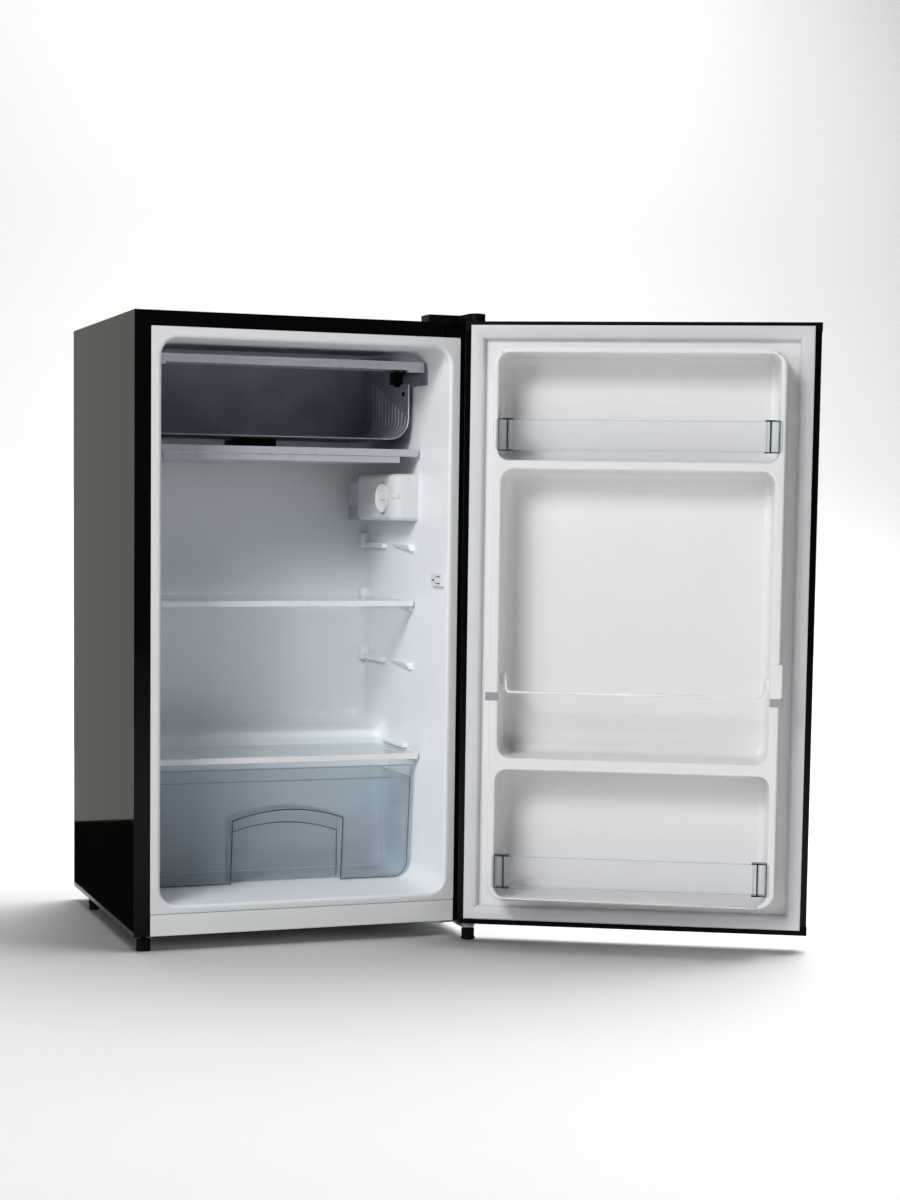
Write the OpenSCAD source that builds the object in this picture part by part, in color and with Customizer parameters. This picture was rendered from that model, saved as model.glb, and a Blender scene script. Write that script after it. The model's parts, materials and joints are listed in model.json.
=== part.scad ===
// Compact single-door refrigerator with an inner freezer box, standing on four feet.
// Millimetres. The origin is on the floor, below the middle of the cabinet's front face.
// +X points to the hinge side, +Y into the cabinet and +Z up. The door is drawn open.

/* [Cabinet] */
// Outer width of the cabinet
cab_w = 468; // [440:1:500]
// Depth of the cabinet behind the door
cab_d = 416; // [405:1:450]
// Height of the cabinet body
body_h = 815; // [800:1:840]
// Gap between the floor and the body
base_z = 20; // [18:1:26]
// Width of the black border beside the liner flange
border_w = 22; // [18:1:26]
// Height of the black border above the liner flange
border_h = 20; // [16:1:24]

/* [Liner] */
// Clear width of the compartment
open_w = 396; // [390:1:400]
// Clear height of the compartment
open_h = 742; // [735:1:745]
// Floor of the compartment above the base of the body
floor_rise = 39; // [36:1:40]
// Depth of the compartment
open_d = 375; // [365:1:378]
// Corner radius of the compartment
open_r = 24; // [16:1:30]
// Wall thickness of the moulded liners
liner_t = 2; // [1.5:0.1:2.5]

/* [Door] */
// Angle that the door stands open
open_angle = 152.5; // [100:0.5:164]
// Thickness of the door without its gasket
door_t = 36; // [32:1:40]
// Height that the moulded dyke stands up from the gasket plane
dyke_h = 50; // [40:1:50]
// Depth of the rack pockets, from the top of the dyke
pocket_d = 70; // [62:1:72]

/* [Interior] */
// Height of the shelf's top face above the floor
shelf_z = 454; // [452:1:456]
// Distance between two shelf levels
shelf_pitch = 84; // [80:1:86]
// Height of the crisper cover's top face above the floor
cover_z = 240; // [238:1:242]
// Length of the freezer flap from its pivot
flap_len = 103; // [90:1:104]

/* [Hidden] */
$fn = 64;

eps = 0.01;
cut = 1;
half_w = cab_w / 2;
top_z = base_z + body_h;
steel_t = 1;
flange_x = half_w - border_w;
flange_top = top_z - border_h;
flange_bottom = base_z + 29;
open_x = open_w / 2;
open_z0 = base_z + floor_rise;
open_z1 = open_z0 + open_h;
rear_r = 22;
hump_y = 262;
hump_z = base_z + 239;
hump_r = 12;
bay_y = hump_y + 37;
bay_z = hump_z - 37;
foam_y = 3;

hinge_x = half_w - 12;
hinge_y = -31.5;
pin_r = 3;
running_gap = 0.05;

gasket_t = 11.4;
gasket_gap = 0.6;
door_back = -gasket_gap - gasket_t;
door_front = door_back - door_t;
door_z0 = base_z + 4;
door_z1 = top_z - 1;
cap_h = 12;
bush_h = 10;
gasket_x = half_w - 8.7;
gasket_z0 = base_z + 12.5;
gasket_z1 = top_z - 6.5;
gasket_w = 19;
dyke_x = 190;
dyke_z0 = open_z0 + 8;
dyke_z1 = open_z1 - 5;
pocket_y = dyke_h - pocket_d;
// the finger grip in the door's free edge: heights, how far behind the front, how deep
grip_z = [560, 680];
grip_y = [door_front + 9, door_front + 25];
grip_d = 11;
grip_t = 2;
// each pocket: half width, lowest and highest z, corner radius
pockets = [[182, base_z + 630, top_z - 46, 14],
    [177, base_z + 239, base_z + 618.5, 16],
    [179, base_z + 53, base_z + 223, 14]];
top_bar_z = [base_z + 643, base_z + 683];
low_bar_z = [base_z + 66, base_z + 108];
bar_end_w = 20;

evap_x = 191;
evap_z0 = base_z + 661;
evap_z1 = open_z1 - 8;
evap_y0 = 148;
evap_y1 = 352;
evap_t = 1.6;
evap_r = 30;
evap_step_z = base_z + 737;
evap_step_y = 214;

flap_y = 100;
flap_z = base_z + 760;
flap_bar_x = 194.6;
flap_lip_x = 186;
flap_x = 168;

tray_y0 = 117;
tray_z1 = base_z + 647;
tray_lip = 10;
tray_pan_x = 168;
tray_end_y = 342;

house_x = 160;
house_y = [124, 288];
house_z = [base_z + 547, base_z + 613];
house_r = 22;
lamp_y1 = 352;
knob_y = 166;
knob_z = base_z + 579;
knob_r = 21;
switch_z = base_z + 467.5;
switch_y = [14, 54];
// the recess in the switch housing that the button moves in
switch_well_y = [19, 35];

glass_t = 4;
shelf_y = [131, 342];
cover_y = [104, 260];
ledge_w = 7;
ledge_h = 8;

bin_x = 191;
bin_t = 2.5;
bin_r = 20;
bin_z0 = open_z0 + 1;
bin_rim_z = base_z + 185;
bin_top_z = base_z + 203;
bin_foot_y = 136;
bin_rim_y = 122;
bin_rear_y = 256;
pull_x = 12;
pull_w = 160;

foot_x = -218;
foot_h = 16;
foot_y = 14;
rear_foot = [222, 325];
comp = [-70, 358];

// ---- helpers ----

// a rectangle with rounded corners, centred on x, from z0 to z1
module round_rect(half, z0, z1, r) {
    translate([-half + r, z0]) square([2 * (half - r), z1 - z0]);
    translate([-half, z0 + r]) square([2 * half, z1 - z0 - 2 * r]);
    for (sx = [-1, 1], z = [z0 + r, z1 - r]) translate([sx * (half - r), z]) circle(r);
}

// an X-Z outline drawn out along Y
module along_y(y0, y1) {
    translate([0, y1, 0]) rotate([90, 0, 0]) linear_extrude(y1 - y0) children();
}

// a Y-Z outline drawn out along X, the same on both sides of the middle
module along_x(half) {
    translate([-half, 0, 0]) rotate([90, 0, 90]) linear_extrude(2 * half) children();
}

// a box between two corners
module box(a, b) {
    translate(a) cube(b - a);
}

// the same thing on both sides
module both_sides() {
    children();
    mirror([1, 0, 0]) children();
}

// a round bar between two points
module bar(a, b, r) {
    d = b - a;
    len = norm(d);
    translate(a) rotate([0, acos(d[2] / len), atan2(d[1], d[0])]) cylinder(r = r, h = len);
}

// straight round bars along a path, each run on a little past its ends so that they join
module bent_bar(path, r) {
    for (i = [0:len(path) - 2]) {
        a = path[i];
        b = path[i + 1];
        over = (b - a) / norm(b - a) * r * 0.8;
        bar(a - over, b + over, r);
    }
}

// turns what belongs to the door to its open place
module door_place() {
    translate([hinge_x, hinge_y, 0]) rotate([0, 0, open_angle])
        translate([-hinge_x, -hinge_y, 0]) children();
}

// the compartment's hollow, grown outward by g
module hollow(g = 0) {
    difference() {
        intersection() {
            along_y(-cut, open_d + g) round_rect(open_x + g, open_z0 - g, open_z1 + g, open_r + g);
            linear_extrude(top_z + cut) hollow_plan(g);
        }
        along_x(half_w) hump(g);
    }
}

// the step over the compressor as a Y-Z outline with a rounded edge, shrunk by g
module hump(g) {
    r = hump_r - g;
    y = hump_y + g;
    z = hump_z - g;
    translate([y + r, 0]) square([cab_d - y, z]);
    translate([y, 0]) square([cab_d - y, z - r]);
    translate([y + r, z - r]) circle(r);
}

module hollow_plan(g) {
    r = rear_r + g;
    x = open_x + g;
    y = open_d + g;
    translate([-x, -cut]) square([2 * x, y - r + cut]);
    translate([-x + r, 0]) square([2 * (x - r), y]);
    for (sx = [-1, 1]) translate([sx * (x - r), y - r]) circle(r);
}

// ---- cabinet ----

module outer_shell() color("#101012") {
    difference() {
        box([-half_w, 0, base_z], [half_w, cab_d - steel_t, top_z]);
        box([-half_w + steel_t, steel_t, base_z - cut], [half_w - steel_t, cab_d, top_z - steel_t]);
        box([-flange_x, -cut, base_z - cut], [flange_x, 2 * cut, flange_top]);
    }
}

module back_panel() color("#1b1b1d") {
    difference() {
        box([-half_w, cab_d - steel_t, bay_z], [half_w, cab_d, top_z]);
        for (sx = [-1, 1], z = [bay_z + 12, top_z - 12])
            translate([sx * (half_w - 14), cab_d - steel_t - cut, z])
                rotate([-90, 0, 0]) cylinder(r = 2, h = 3);
    }
}

module bottom_panel() color("#8d9094") {
    difference() {
        box([-half_w + steel_t, steel_t + foam_y, base_z], [half_w - steel_t, bay_y, base_z + steel_t]);
        translate([foot_x, foot_y, base_z - cut]) cylinder(r = 5, h = 4);
    }
}

module compressor_bay_panel() color("#a3a7ab") {
    x = half_w - steel_t;
    box([-x, bay_y, base_z + 2], [x, bay_y + steel_t, bay_z]);
    box([-x, bay_y, bay_z - steel_t], [x, cab_d - steel_t, bay_z]);
}

module compressor_plate() color("#6f7275") {
    x = half_w - steel_t;
    difference() {
        box([-x, bay_y, base_z], [x, cab_d, base_z + 2]);
        for (sx = [-1, 1], sy = [-1, 1]) translate([comp[0] + sx * 62, comp[1] + sy * 36, base_z - cut])
            cylinder(r = 4, h = 5);
        for (x = [110:20:190]) box([x, bay_y + 25, base_z - cut], [x + 8, cab_d - 25, base_z + 4]);
    }
    difference() {
        box([-x, cab_d - 2, base_z + 2], [x, cab_d, base_z + 26]);
        translate([170, cab_d - 4, base_z + 14]) rotate([-90, 0, 0]) cylinder(r = 8, h = 6);
    }
}

module insulation_foam() color("#e8d9a8") {
    x = half_w - steel_t;
    difference() {
        box([-x, foam_y, base_z + steel_t], [x, cab_d - steel_t, top_z - steel_t]);
        hollow(liner_t);
        box([-half_w, bay_y, 0], [half_w, cab_d, bay_z]);
        box([foot_x - 14, 0, 0], [foot_x + 14, foot_y + 14, base_z + 24]);
        box([-200, cab_d - 7.5, bay_z + 30], [200, cab_d, bay_z + 560]);
        box([-flange_x, 0, 0], [flange_x, 4, flange_bottom]);
    }
}

module inner_liner() color("#eef0f3") {
    difference() {
        union() {
            intersection() {
                hollow(liner_t);
                box([-half_w, 0, 0], [half_w, cab_d, top_z]);
            }
            box([-flange_x, 0, flange_bottom], [flange_x, liner_t, flange_top]);
        }
        hollow(0);
    }
    both_sides() {
        for (k = [-1:1]) shelf_ledge(shelf_z - glass_t - 0.2 + k * shelf_pitch);
        cover_ledge();
    }
}

// a moulded ledge with its rear stop, on the right wall
module shelf_ledge(z) {
    x0 = open_x - ledge_w;
    rear = 362;
    front_end = 219;
    rear_start = 262;
    box([x0, shelf_y[0] + 9, z - ledge_h], [open_x + eps, front_end, z]);
    box([x0, rear_start, z - ledge_h], [open_x + eps, rear, z]);
    box([x0 - 5, shelf_y[1] + 2, z - ledge_h], [open_x + eps, rear, z + 13]);
}

// the ledge under the crisper's cover and the guide that holds the cover down
module cover_ledge() {
    z = cover_z - glass_t - 0.2;
    guide_z = cover_z + 2;
    box([open_x - ledge_w, cover_y[0] + 9, z - 5], [open_x + eps, hump_y + eps, z]);
    box([open_x - ledge_w, 160, guide_z], [open_x + eps, hump_y + eps, guide_z + 6]);
}

module kick_strip() color("#eceef0") {
    difference() {
        box([-flange_x + 0.3, 0, base_z], [flange_x - 0.3, 3.5, flange_bottom - 0.6]);
        box([-flange_x + 4, 2, base_z - cut], [flange_x - 4, 4.5, flange_bottom - 3]);
    }
}

// ---- cooling circuit ----

// an upright can with rounded edges
module can(r, h, edge) {
    translate([0, 0, edge]) cylinder(r = r, h = h - 2 * edge);
    cylinder(r = r - edge, h = h);
    for (z = [edge, h - edge]) translate([0, 0, z])
        rotate_extrude() translate([r - edge, 0]) circle(edge);
}

module compressor() color("#17171a") {
    z = base_z + 16;
    translate([comp[0], comp[1], z]) can(49, 138, 20);
    difference() {
        box([comp[0] - 74, comp[1] - 46, z - 6], [comp[0] + 74, comp[1] + 46, z - 3]);
        for (sx = [-1, 1], sy = [-1, 1]) translate([comp[0] + sx * 62, comp[1] + sy * 36, z - 8])
            cylinder(r = 5, h = 8);
    }
    translate([comp[0], comp[1], z - 4]) cylinder(r = 26, h = 6);
}

module compressor_grommets() color("#2a2a2c") {
    for (sx = [-1, 1], sy = [-1, 1]) translate([comp[0] + sx * 62, comp[1] + sy * 36, base_z + 2]) {
        difference() {
            union() {
                cylinder(r = 9, h = 8);
                cylinder(r = 5, h = 13);
            }
            translate([0, 0, -cut]) cylinder(r = 2.5, h = 20);
        }
    }
}

module start_relay() color("#232326") {
    box([comp[0] + 49.5, comp[1] - 24, base_z + 60], [comp[0] + 76, comp[1] + 24, base_z + 112]);
}

module refrigerant_pipes() color("#b87333") {
    r = 3.2;
    z = base_z + 100;
    top = bay_z - 4;
    x = comp[0];
    y = comp[1];
    bent_bar([[x - 50.6, y - 12, z], [x - 86, y - 12, z], [x - 86, y - 12, top]], r);
    bent_bar([[x - 49.4, y + 16, z - 30], [x - 106, y + 16, z - 30], [x - 106, y + 16, top]], r);
    bent_bar([[x + 30, y - 30, z + 52], [x + 30, y - 30, z + 70], [60, y - 30, z + 70]], r);
}

module filter_drier() color("#c08040") {
    translate([60, comp[1] - 30, base_z + 170]) rotate([0, 90, 0]) {
        difference() {
            can(9, 96, 4);
            translate([0, 0, -cut]) cylinder(r = 3.2, h = 4 + cut);
        }
    }
}

// a serpentine tube against the inside of the back panel
module condenser_coil() color("#3c3c40") {
    r = 2.4;
    gap = 64;
    n = 8;
    x = 150;
    y = cab_d - steel_t - r - 0.2;
    z0 = bay_z + 56;
    for (k = [0:n - 1]) translate([-x, y, z0 + k * gap]) rotate([0, 90, 0]) cylinder(r = r, h = 2 * x);
    for (k = [0:n - 2]) translate([k % 2 == 0 ? x : -x, y, z0 + (k + 0.5) * gap])
        rotate([90, k % 2 == 0 ? 90 : -90, 0]) rotate_extrude(angle = 180) translate([gap / 2, 0]) circle(r);
}

module cord_gland() color("#1c1c1e") {
    translate([170, cab_d - 6, base_z + 14]) rotate([-90, 0, 0]) difference() {
        union() {
            cylinder(r = 7.9, h = 8);
            translate([0, 0, 6.1]) cylinder(r = 11, h = 3);
            cylinder(r = 10, h = 3.8);
        }
        translate([0, 0, -cut]) cylinder(r = 4, h = 12);
    }
}

// ---- freezer box ----

module tub(half, z0, z1, r) {
    translate([-half + r, z0]) square([2 * (half - r), r + eps]);
    translate([-half, z0 + r]) square([2 * half, z1 - z0 - r]);
    for (sx = [-1, 1]) translate([sx * (half - r), z0 + r]) circle(r);
}

module evaporator() color("#b9bdc2") {
    t = evap_t;
    difference() {
        along_y(evap_y0, evap_y1) tub(evap_x, evap_z0, evap_z1, evap_r);
        along_y(evap_y0 - cut, evap_y1 - t) tub(evap_x - t, evap_z0 + t, evap_z1 + cut, evap_r - t);
        box([-half_w, evap_y0 - cut, evap_step_z], [half_w, evap_step_y, top_z]);
    }
    // rims that hang from the ceiling
    both_sides() difference() {
        box([evap_x - 16, evap_step_y, evap_z1 - t], [evap_x, evap_y1, evap_z1]);
        for (y = [240, 330]) translate([evap_x - 10, y, evap_z1 - 5]) cylinder(r = 2.1, h = 8);
    }
}

module evaporator_screws() color("#c8ccd0") {
    both_sides() for (y = [240, 330]) translate([evap_x - 10, y, evap_z1 - evap_t - 2.4]) {
        cylinder(r = 4, h = 2.4);
        cylinder(r = 1.9, h = 10.4);
    }
}

module pipe_sleeve() color("#0e0e10") {
    difference() {
        box([-20, 246, evap_z0 - 11], [24, 368, evap_z0]);
        for (x = [-9, 13]) translate([x, 300, evap_z0 - 5.5]) rotate([-90, 0, 0]) cylinder(r = 3.4, h = 80);
    }
}

// side plates that carry the flap's pivots
module flap_brackets() color("#5c6066") {
    x0 = flap_bar_x + 0.6;
    both_sides() {
        difference() {
            intersection() {
                box([x0, flap_y - 8, evap_step_z - 1], [open_x, evap_step_y - 24, flap_z + 7]);
                hollow(0);
            }
            translate([x0 - cut, flap_y, flap_z]) rotate([0, 90, 0]) cylinder(r = 2.5 + running_gap, h = 8);
        }
        box([evap_x + 0.6, flap_y + 12, evap_step_z - 1], [x0 + eps, evap_step_y - 24, evap_step_z + 14]);
    }
}

module freezer_flap() color("#d8dbe0") {
    difference() {
        union() {
            box([-flap_bar_x, flap_y - 4, flap_z - 4], [flap_bar_x, flap_y + 4, flap_z + 7]);
            box([-flap_lip_x, flap_y - 6, flap_z + 3], [flap_lip_x, flap_y - 4 + eps, flap_z + 7]);
            both_sides() box([flap_x + 3, flap_y - 4, flap_z - 7],
                [flap_bar_x, flap_y + 4, flap_z - 4 + eps]);
            box([-flap_x, flap_y + 4 - eps, flap_z - 1], [flap_x, flap_y + flap_len, flap_z + 3]);
            both_sides() translate([flap_bar_x - eps, flap_y, flap_z])
                rotate([0, 90, 0]) cylinder(r = 2.5, h = 2.2);
        }
        // a shallow finger scoop in the free edge
        box([-45, flap_y + flap_len - 12, flap_z + 1], [45, flap_y + flap_len + cut, flap_z + 4]);
    }
}

module tray_rails() color("#e6e8ec") {
    both_sides() box([open_x - 12, tray_y0 + 9, tray_z1 - 10], [open_x, tray_end_y, tray_z1 - 3.4]);
}

module drip_tray() color("#e9ecef") {
    z0 = tray_z1 - 19;
    difference() {
        union() {
            box([-tray_pan_x, tray_y0 + 2, z0], [tray_pan_x, tray_end_y - 4, tray_z1 - eps]);
            box([-195, tray_y0, tray_z1 - 3], [195, tray_end_y, tray_z1]);
            box([-195, tray_y0, tray_z1 - tray_lip], [195, tray_y0 + 4, tray_z1]);
        }
        box([-tray_pan_x + 2, tray_y0 + 6, z0 + 2], [tray_pan_x - 2, tray_end_y - 6, tray_z1 + cut]);
    }
}

// ---- thermostat, lamp and light switch ----

// a box on the right wall whose front edge is rounded by front and whose rear edge by r
module wall_box(x0, y0, y1, z0, z1, r, front) {
    linear_extrude_z(z0, z1) intersection() {
        translate([x0, y0]) square([open_x - x0, y1 - y0]);
        union() {
            translate([x0 + front, y0]) square([open_x - x0 - front, y1 - y0]);
            translate([x0, y0 + front]) square([open_x - x0, y1 - y0 - front - r]);
            translate([x0 + r, y0 + front]) square([open_x - x0 - r, y1 - y0 - front]);
            translate([x0 + front, y0 + front]) circle(front);
            translate([x0 + r, y1 - r]) circle(r);
        }
    }
}

module linear_extrude_z(z0, z1) {
    translate([0, 0, z0]) linear_extrude(z1 - z0) children();
}

module thermostat_housing() color("#f2f3f4") {
    t = 2;
    difference() {
        wall_box(house_x, house_y[0], house_y[1], house_z[0], house_z[1], 6, house_r);
        difference() {
            wall_box(house_x + t, house_y[0] + t, house_y[1] - t, house_z[0] + t, house_z[1] - t,
                4, house_r - t);
            translate([house_x, knob_y, knob_z]) rotate([0, 90, 0]) cylinder(r = 8, h = 5);
        }
        translate([house_x - cut, knob_y, knob_z]) rotate([0, 90, 0]) cylinder(r = 4.5, h = 20);
        box([open_x - 3, house_y[0] + 8, house_z[0] + 8], [open_x + cut, house_y[1] - 8, house_z[1] - 8]);
    }
}

module thermostat_body() color("#9a9da1") {
    difference() {
        box([house_x + 10, knob_y - 18, knob_z - 18], [open_x - 4, knob_y + 18, knob_z + 18]);
        translate([house_x + 9, knob_y, knob_z]) rotate([0, 90, 0]) cylinder(r = 3 + running_gap, h = 16);
    }
}

module thermostat_knob() color("#f5f5f6") {
    translate([house_x - 0.6, knob_y, knob_z]) rotate([0, -90, 0]) {
        cylinder(r = knob_r, h = 4);
        intersection() {
            cylinder(r = knob_r - 0.5, h = 15);
            box([-knob_r, -4.5, 0], [knob_r, 4.5, 14]);
        }
        translate([0, 0, -24]) cylinder(r = 3, h = 25);
    }
}

module lamp_holder() color("#dcdcdc") {
    translate([open_x - 16, house_y[1], knob_z - 6]) rotate([-90, 0, 0]) difference() {
        cylinder(r = 11, h = 18);
        translate([0, 0, 4]) cylinder(r = 7.1, h = 20);
    }
}

module lamp_bulb() color("#fff4d0") {
    translate([open_x - 16, house_y[1] + 4.5, knob_z - 6]) rotate([-90, 0, 0]) {
        cylinder(r = 7, h = 18);
        translate([0, 0, 17]) cylinder(r = 10.5, h = 26);
        translate([0, 0, 43]) sphere(10.5);
    }
}

module lamp_cover() color("#e8ecee") {
    t = 1.6;
    z0 = house_z[0] - 1;
    z1 = house_z[1] - 11;
    difference() {
        wall_box(house_x + 5, house_y[1] + 0.4, lamp_y1, z0, z1, 9, 2);
        wall_box(house_x + 5 + t, house_y[1] - cut, lamp_y1 - t, z0 + t, z1 - t, 7, 0.5);
        box([house_x, house_y[1] + 4, knob_z - 3], [house_x + 5 + t + 0.2, house_y[1] + 9, knob_z + 3]);
        box([open_x - 4, house_y[1], z0 + 4], [open_x + cut, lamp_y1 - 4, z1 - 4]);
        for (k = [0:5]) box([house_x, house_y[1] + 14 + k * 8, z0 + 5], [house_x + 5 + t + 0.2,
            house_y[1] + 18 + k * 8, z0 + 22]);
    }
}

module switch_housing() color("#f4f4f5") {
    x0 = open_x - 5.5;
    difference() {
        box([x0, switch_y[0], switch_z - 8.5], [open_x, switch_y[1], switch_z + 8.5]);
        box([x0 - cut, switch_well_y[0], switch_z - 5.5], [open_x - 0.6, switch_well_y[1], switch_z + 5.5]);
    }
}

module switch_button() color("#fafafa") {
    play = 0.6;
    half = 3.8;
    box([open_x - 7.4, switch_well_y[0] + play, switch_z - half],
        [open_x - 3.2, switch_well_y[1] - play, switch_z + half]);
}

// ---- shelf, crisper cover and crisper ----

module shelf_glass() color("#cfe0e4") {
    box([-open_x + 3.5, shelf_y[0] + 6, shelf_z - glass_t], [open_x - 3.5, shelf_y[1], shelf_z]);
}

// a plastic edge clipped on the front of a glass plate
module front_trim(y, z_top) {
    difference() {
        box([-195, y, z_top - glass_t - 3], [195, y + 8, z_top + 0.8]);
        box([-open_x + 3.5 - eps, y + 6, z_top - glass_t], [open_x - 3.5 + eps, y + 9, z_top]);
    }
}

module shelf_trim() color("#f3f4f6") {
    front_trim(shelf_y[0], shelf_z);
}

module cover_glass() color("#cfe0e4") {
    box([-open_x + 3.5, cover_y[0] + 6, cover_z - glass_t], [open_x - 3.5, cover_y[1], cover_z]);
}

module cover_trim() color("#f3f4f6") {
    front_trim(cover_y[0], cover_z);
}

// the arch of the finger recess in the crisper's front, grown by g
module pull_arch(g) {
    r = 230;
    crown = base_z + 144 + g;
    intersection() {
        translate([pull_x, crown - r]) circle(r, $fn = 180);
        translate([pull_x - pull_w / 2 - g, base_z]) square([pull_w + 2 * g, 200]);
    }
}

module bin_outline(g, top) {
    polygon([[bin_foot_y + g, bin_z0 + g], [bin_rim_y + g, top], [bin_rear_y - g, top],
        [bin_rear_y - 8 - g, bin_z0 + g]]);
}

// the bin's outer form (g = 0) or its hollow, with rounded lower edges at the sides
module bin_form(g, top) {
    intersection() {
        along_x(bin_x - g) bin_outline(g, top);
        along_y(100, bin_rear_y + cut) tub(bin_x - g, bin_z0 + g, top + cut, bin_r - g);
    }
}

module crisper_bin() color("#b9cdd6") {
    recess = 20;
    difference() {
        union() {
            difference() {
                bin_form(0, bin_rim_z);
                bin_form(bin_t, bin_rim_z + cut);
            }
            along_x(bin_x) polygon([[bin_rim_y, bin_rim_z - eps], [bin_rim_y - 1.7, bin_top_z],
                [bin_rim_y + 0.8, bin_top_z], [bin_rim_y + bin_t, bin_rim_z - eps]]);
            intersection() {
                along_y(100, bin_foot_y + recess + bin_t) pull_arch(bin_t);
                bin_form(0, bin_rim_z);
            }
        }
        along_y(100, bin_foot_y + recess) pull_arch(0);
    }
}

// ---- feet ----

module left_foot() color("#141416") {
    translate([foot_x, foot_y, 0]) {
        cylinder(r = 10, h = foot_h);
        translate([0, 0, foot_h - eps]) cylinder(r = 4, h = 21);
    }
}

module left_foot_socket() color("#cfd2d6") {
    difference() {
        box([foot_x - 13.5, steel_t + foam_y, base_z + steel_t], [foot_x + 13.5, foot_y + 13, base_z + 23]);
        translate([foot_x, foot_y, 0]) cylinder(r = 4 + running_gap, h = base_z + 20);
    }
}

module right_foot() color("#141416") {
    translate([hinge_x, hinge_y, 0]) {
        cylinder(r1 = 8.5, r2 = 9.5, h = foot_h - 0.5);
        translate([0, 0, foot_h - 0.5 - eps]) cylinder(r = 4, h = base_z - foot_h - 1.5);
    }
}

module rear_feet() color("#141416") {
    both_sides() translate([rear_foot[0], rear_foot[1], 0]) cylinder(r = 7.5, h = base_z);
}

// ---- hinges ----

module hinge_plate_outline(y1) {
    r = 10;
    translate([hinge_x, hinge_y]) circle(r);
    translate([hinge_x - r, hinge_y]) square([2 * r, y1 - hinge_y]);
    translate([hinge_x - 52, 4]) square([52 + r, y1 - 4]);
}

module top_hinge_bracket() color("#b4b8bc") {
    difference() {
        translate([0, 0, top_z]) linear_extrude(2.5) hinge_plate_outline(28);
        for (p = hinge_screw_at()) translate([p[0], p[1], top_z - cut]) cylinder(r = 2.6, h = 6);
    }
    translate([hinge_x, hinge_y, door_z1 - 9]) cylinder(r = pin_r, h = 12.5);
}

function hinge_screw_at() = [[hinge_x - 44, 16], [hinge_x - 22, 16], [hinge_x, 16]];

module hinge_screws() color("#d0d3d6") {
    for (p = hinge_screw_at()) {
        translate([p[0], p[1], top_z]) {
            cylinder(r = 2.4, h = 3);
            translate([0, 0, 2.5]) cylinder(r = 4.5, h = 2.6);
        }
        translate([p[0], p[1], base_z]) mirror([0, 0, 1]) {
            cylinder(r = 2.4, h = 4);
            translate([0, 0, 3]) cylinder(r = 4.5, h = 2.6);
        }
    }
}

module top_hinge_cover() color("#151517") {
    t = 1.6;
    difference() {
        linear_extrude_z(top_z + 0.2, top_z + 10) hinge_cover_outline(0);
        linear_extrude_z(top_z - cut, top_z + 10 - t) hinge_cover_outline(t);
    }
}

// narrow and round over the pin, wide over the cabinet; g is the inset of the inside
module hinge_cover_outline(g) {
    translate([hinge_x - 56 + g, 0.5 + g]) square([half_w - hinge_x + 56 - 2 * g, 31.5 - 2 * g]);
    translate([hinge_x - 12 + g, hinge_y]) square([24 - 2 * g, 36]);
    translate([hinge_x, hinge_y]) circle(12 - g);
}

module bottom_hinge_bracket() color("#c2c6ca") {
    difference() {
        translate([0, 0, base_z - 3]) linear_extrude(3) hinge_plate_outline(36);
        translate([hinge_x, hinge_y, 0]) cylinder(r = 4 + running_gap, h = base_z - 1.5);
        for (p = hinge_screw_at()) translate([p[0], p[1], base_z - 4]) cylinder(r = 2.6, h = 6);
    }
    translate([hinge_x, hinge_y, base_z - eps]) cylinder(r = pin_r, h = 13.5);
}

module hinge_washer() color("#f0f0f0") {
    translate([hinge_x, hinge_y, base_z]) difference() {
        cylinder(r = 8, h = door_z0 - base_z - 0.3);
        translate([0, 0, -cut]) cylinder(r = pin_r + 0.02, h = 8);
    }
}

// ---- door, drawn shut and turned open by door_place ----

module door_skin() color("#111113") door_place() {
    z0 = door_z0 + cap_h;
    z1 = door_z1 - cap_h;
    difference() {
        box([-half_w, door_front, z0], [half_w, door_back, z1]);
        box([-half_w + steel_t, door_front + steel_t, z0 - cut],
            [half_w - steel_t, door_back - steel_t, z1 + cut]);
        box([-gasket_x + 1, door_front + steel_t, z0 - cut], [gasket_x - 1, door_back + cut, z1 + cut]);
        // finger grip in the free edge
        box([-half_w - cut, grip_y[0], grip_z[0]], [-half_w + 2 * cut, grip_y[1], grip_z[1]]);
    }
    // the grip's pocket
    difference() {
        grip_block(-half_w + steel_t - eps);
        box([-half_w - cut, grip_y[0], grip_z[0]], [-half_w + grip_d, grip_y[1], grip_z[1]]);
    }
}

// the outside of the grip's pocket, from x0 inward
module grip_block(x0) {
    t = grip_t;
    box([x0, grip_y[0] - t, grip_z[0] - t], [-half_w + grip_d + t, grip_y[1] + t, grip_z[1] + t]);
}

module end_cap(z0, z1, bush_z) {
    difference() {
        box([-half_w - 0.8, door_front - 0.6, z0], [half_w, door_back, z1]);
        translate([hinge_x, hinge_y, bush_z]) cylinder(r = 7, h = bush_h + 0.5);
    }
}

module door_top_cap() color("#151517") door_place() {
    end_cap(door_z1 - cap_h, door_z1, door_z1 - bush_h);
}

module door_bottom_cap() color("#151517") door_place() {
    end_cap(door_z0, door_z0 + cap_h, door_z0 - 0.5);
}

// a bush for a hinge pin, with its bore from height z0 up
module bush(z0) {
    difference() {
        cylinder(r = 7, h = bush_h);
        translate([0, 0, z0]) cylinder(r = pin_r + running_gap, h = bush_h + 2 * cut);
    }
}

module door_bushes() color("#e8e8e8") door_place() {
    translate([hinge_x, hinge_y, door_z0]) bush(-cut);
    translate([hinge_x, hinge_y, door_z1 - bush_h]) bush(0.8);
}

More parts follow.
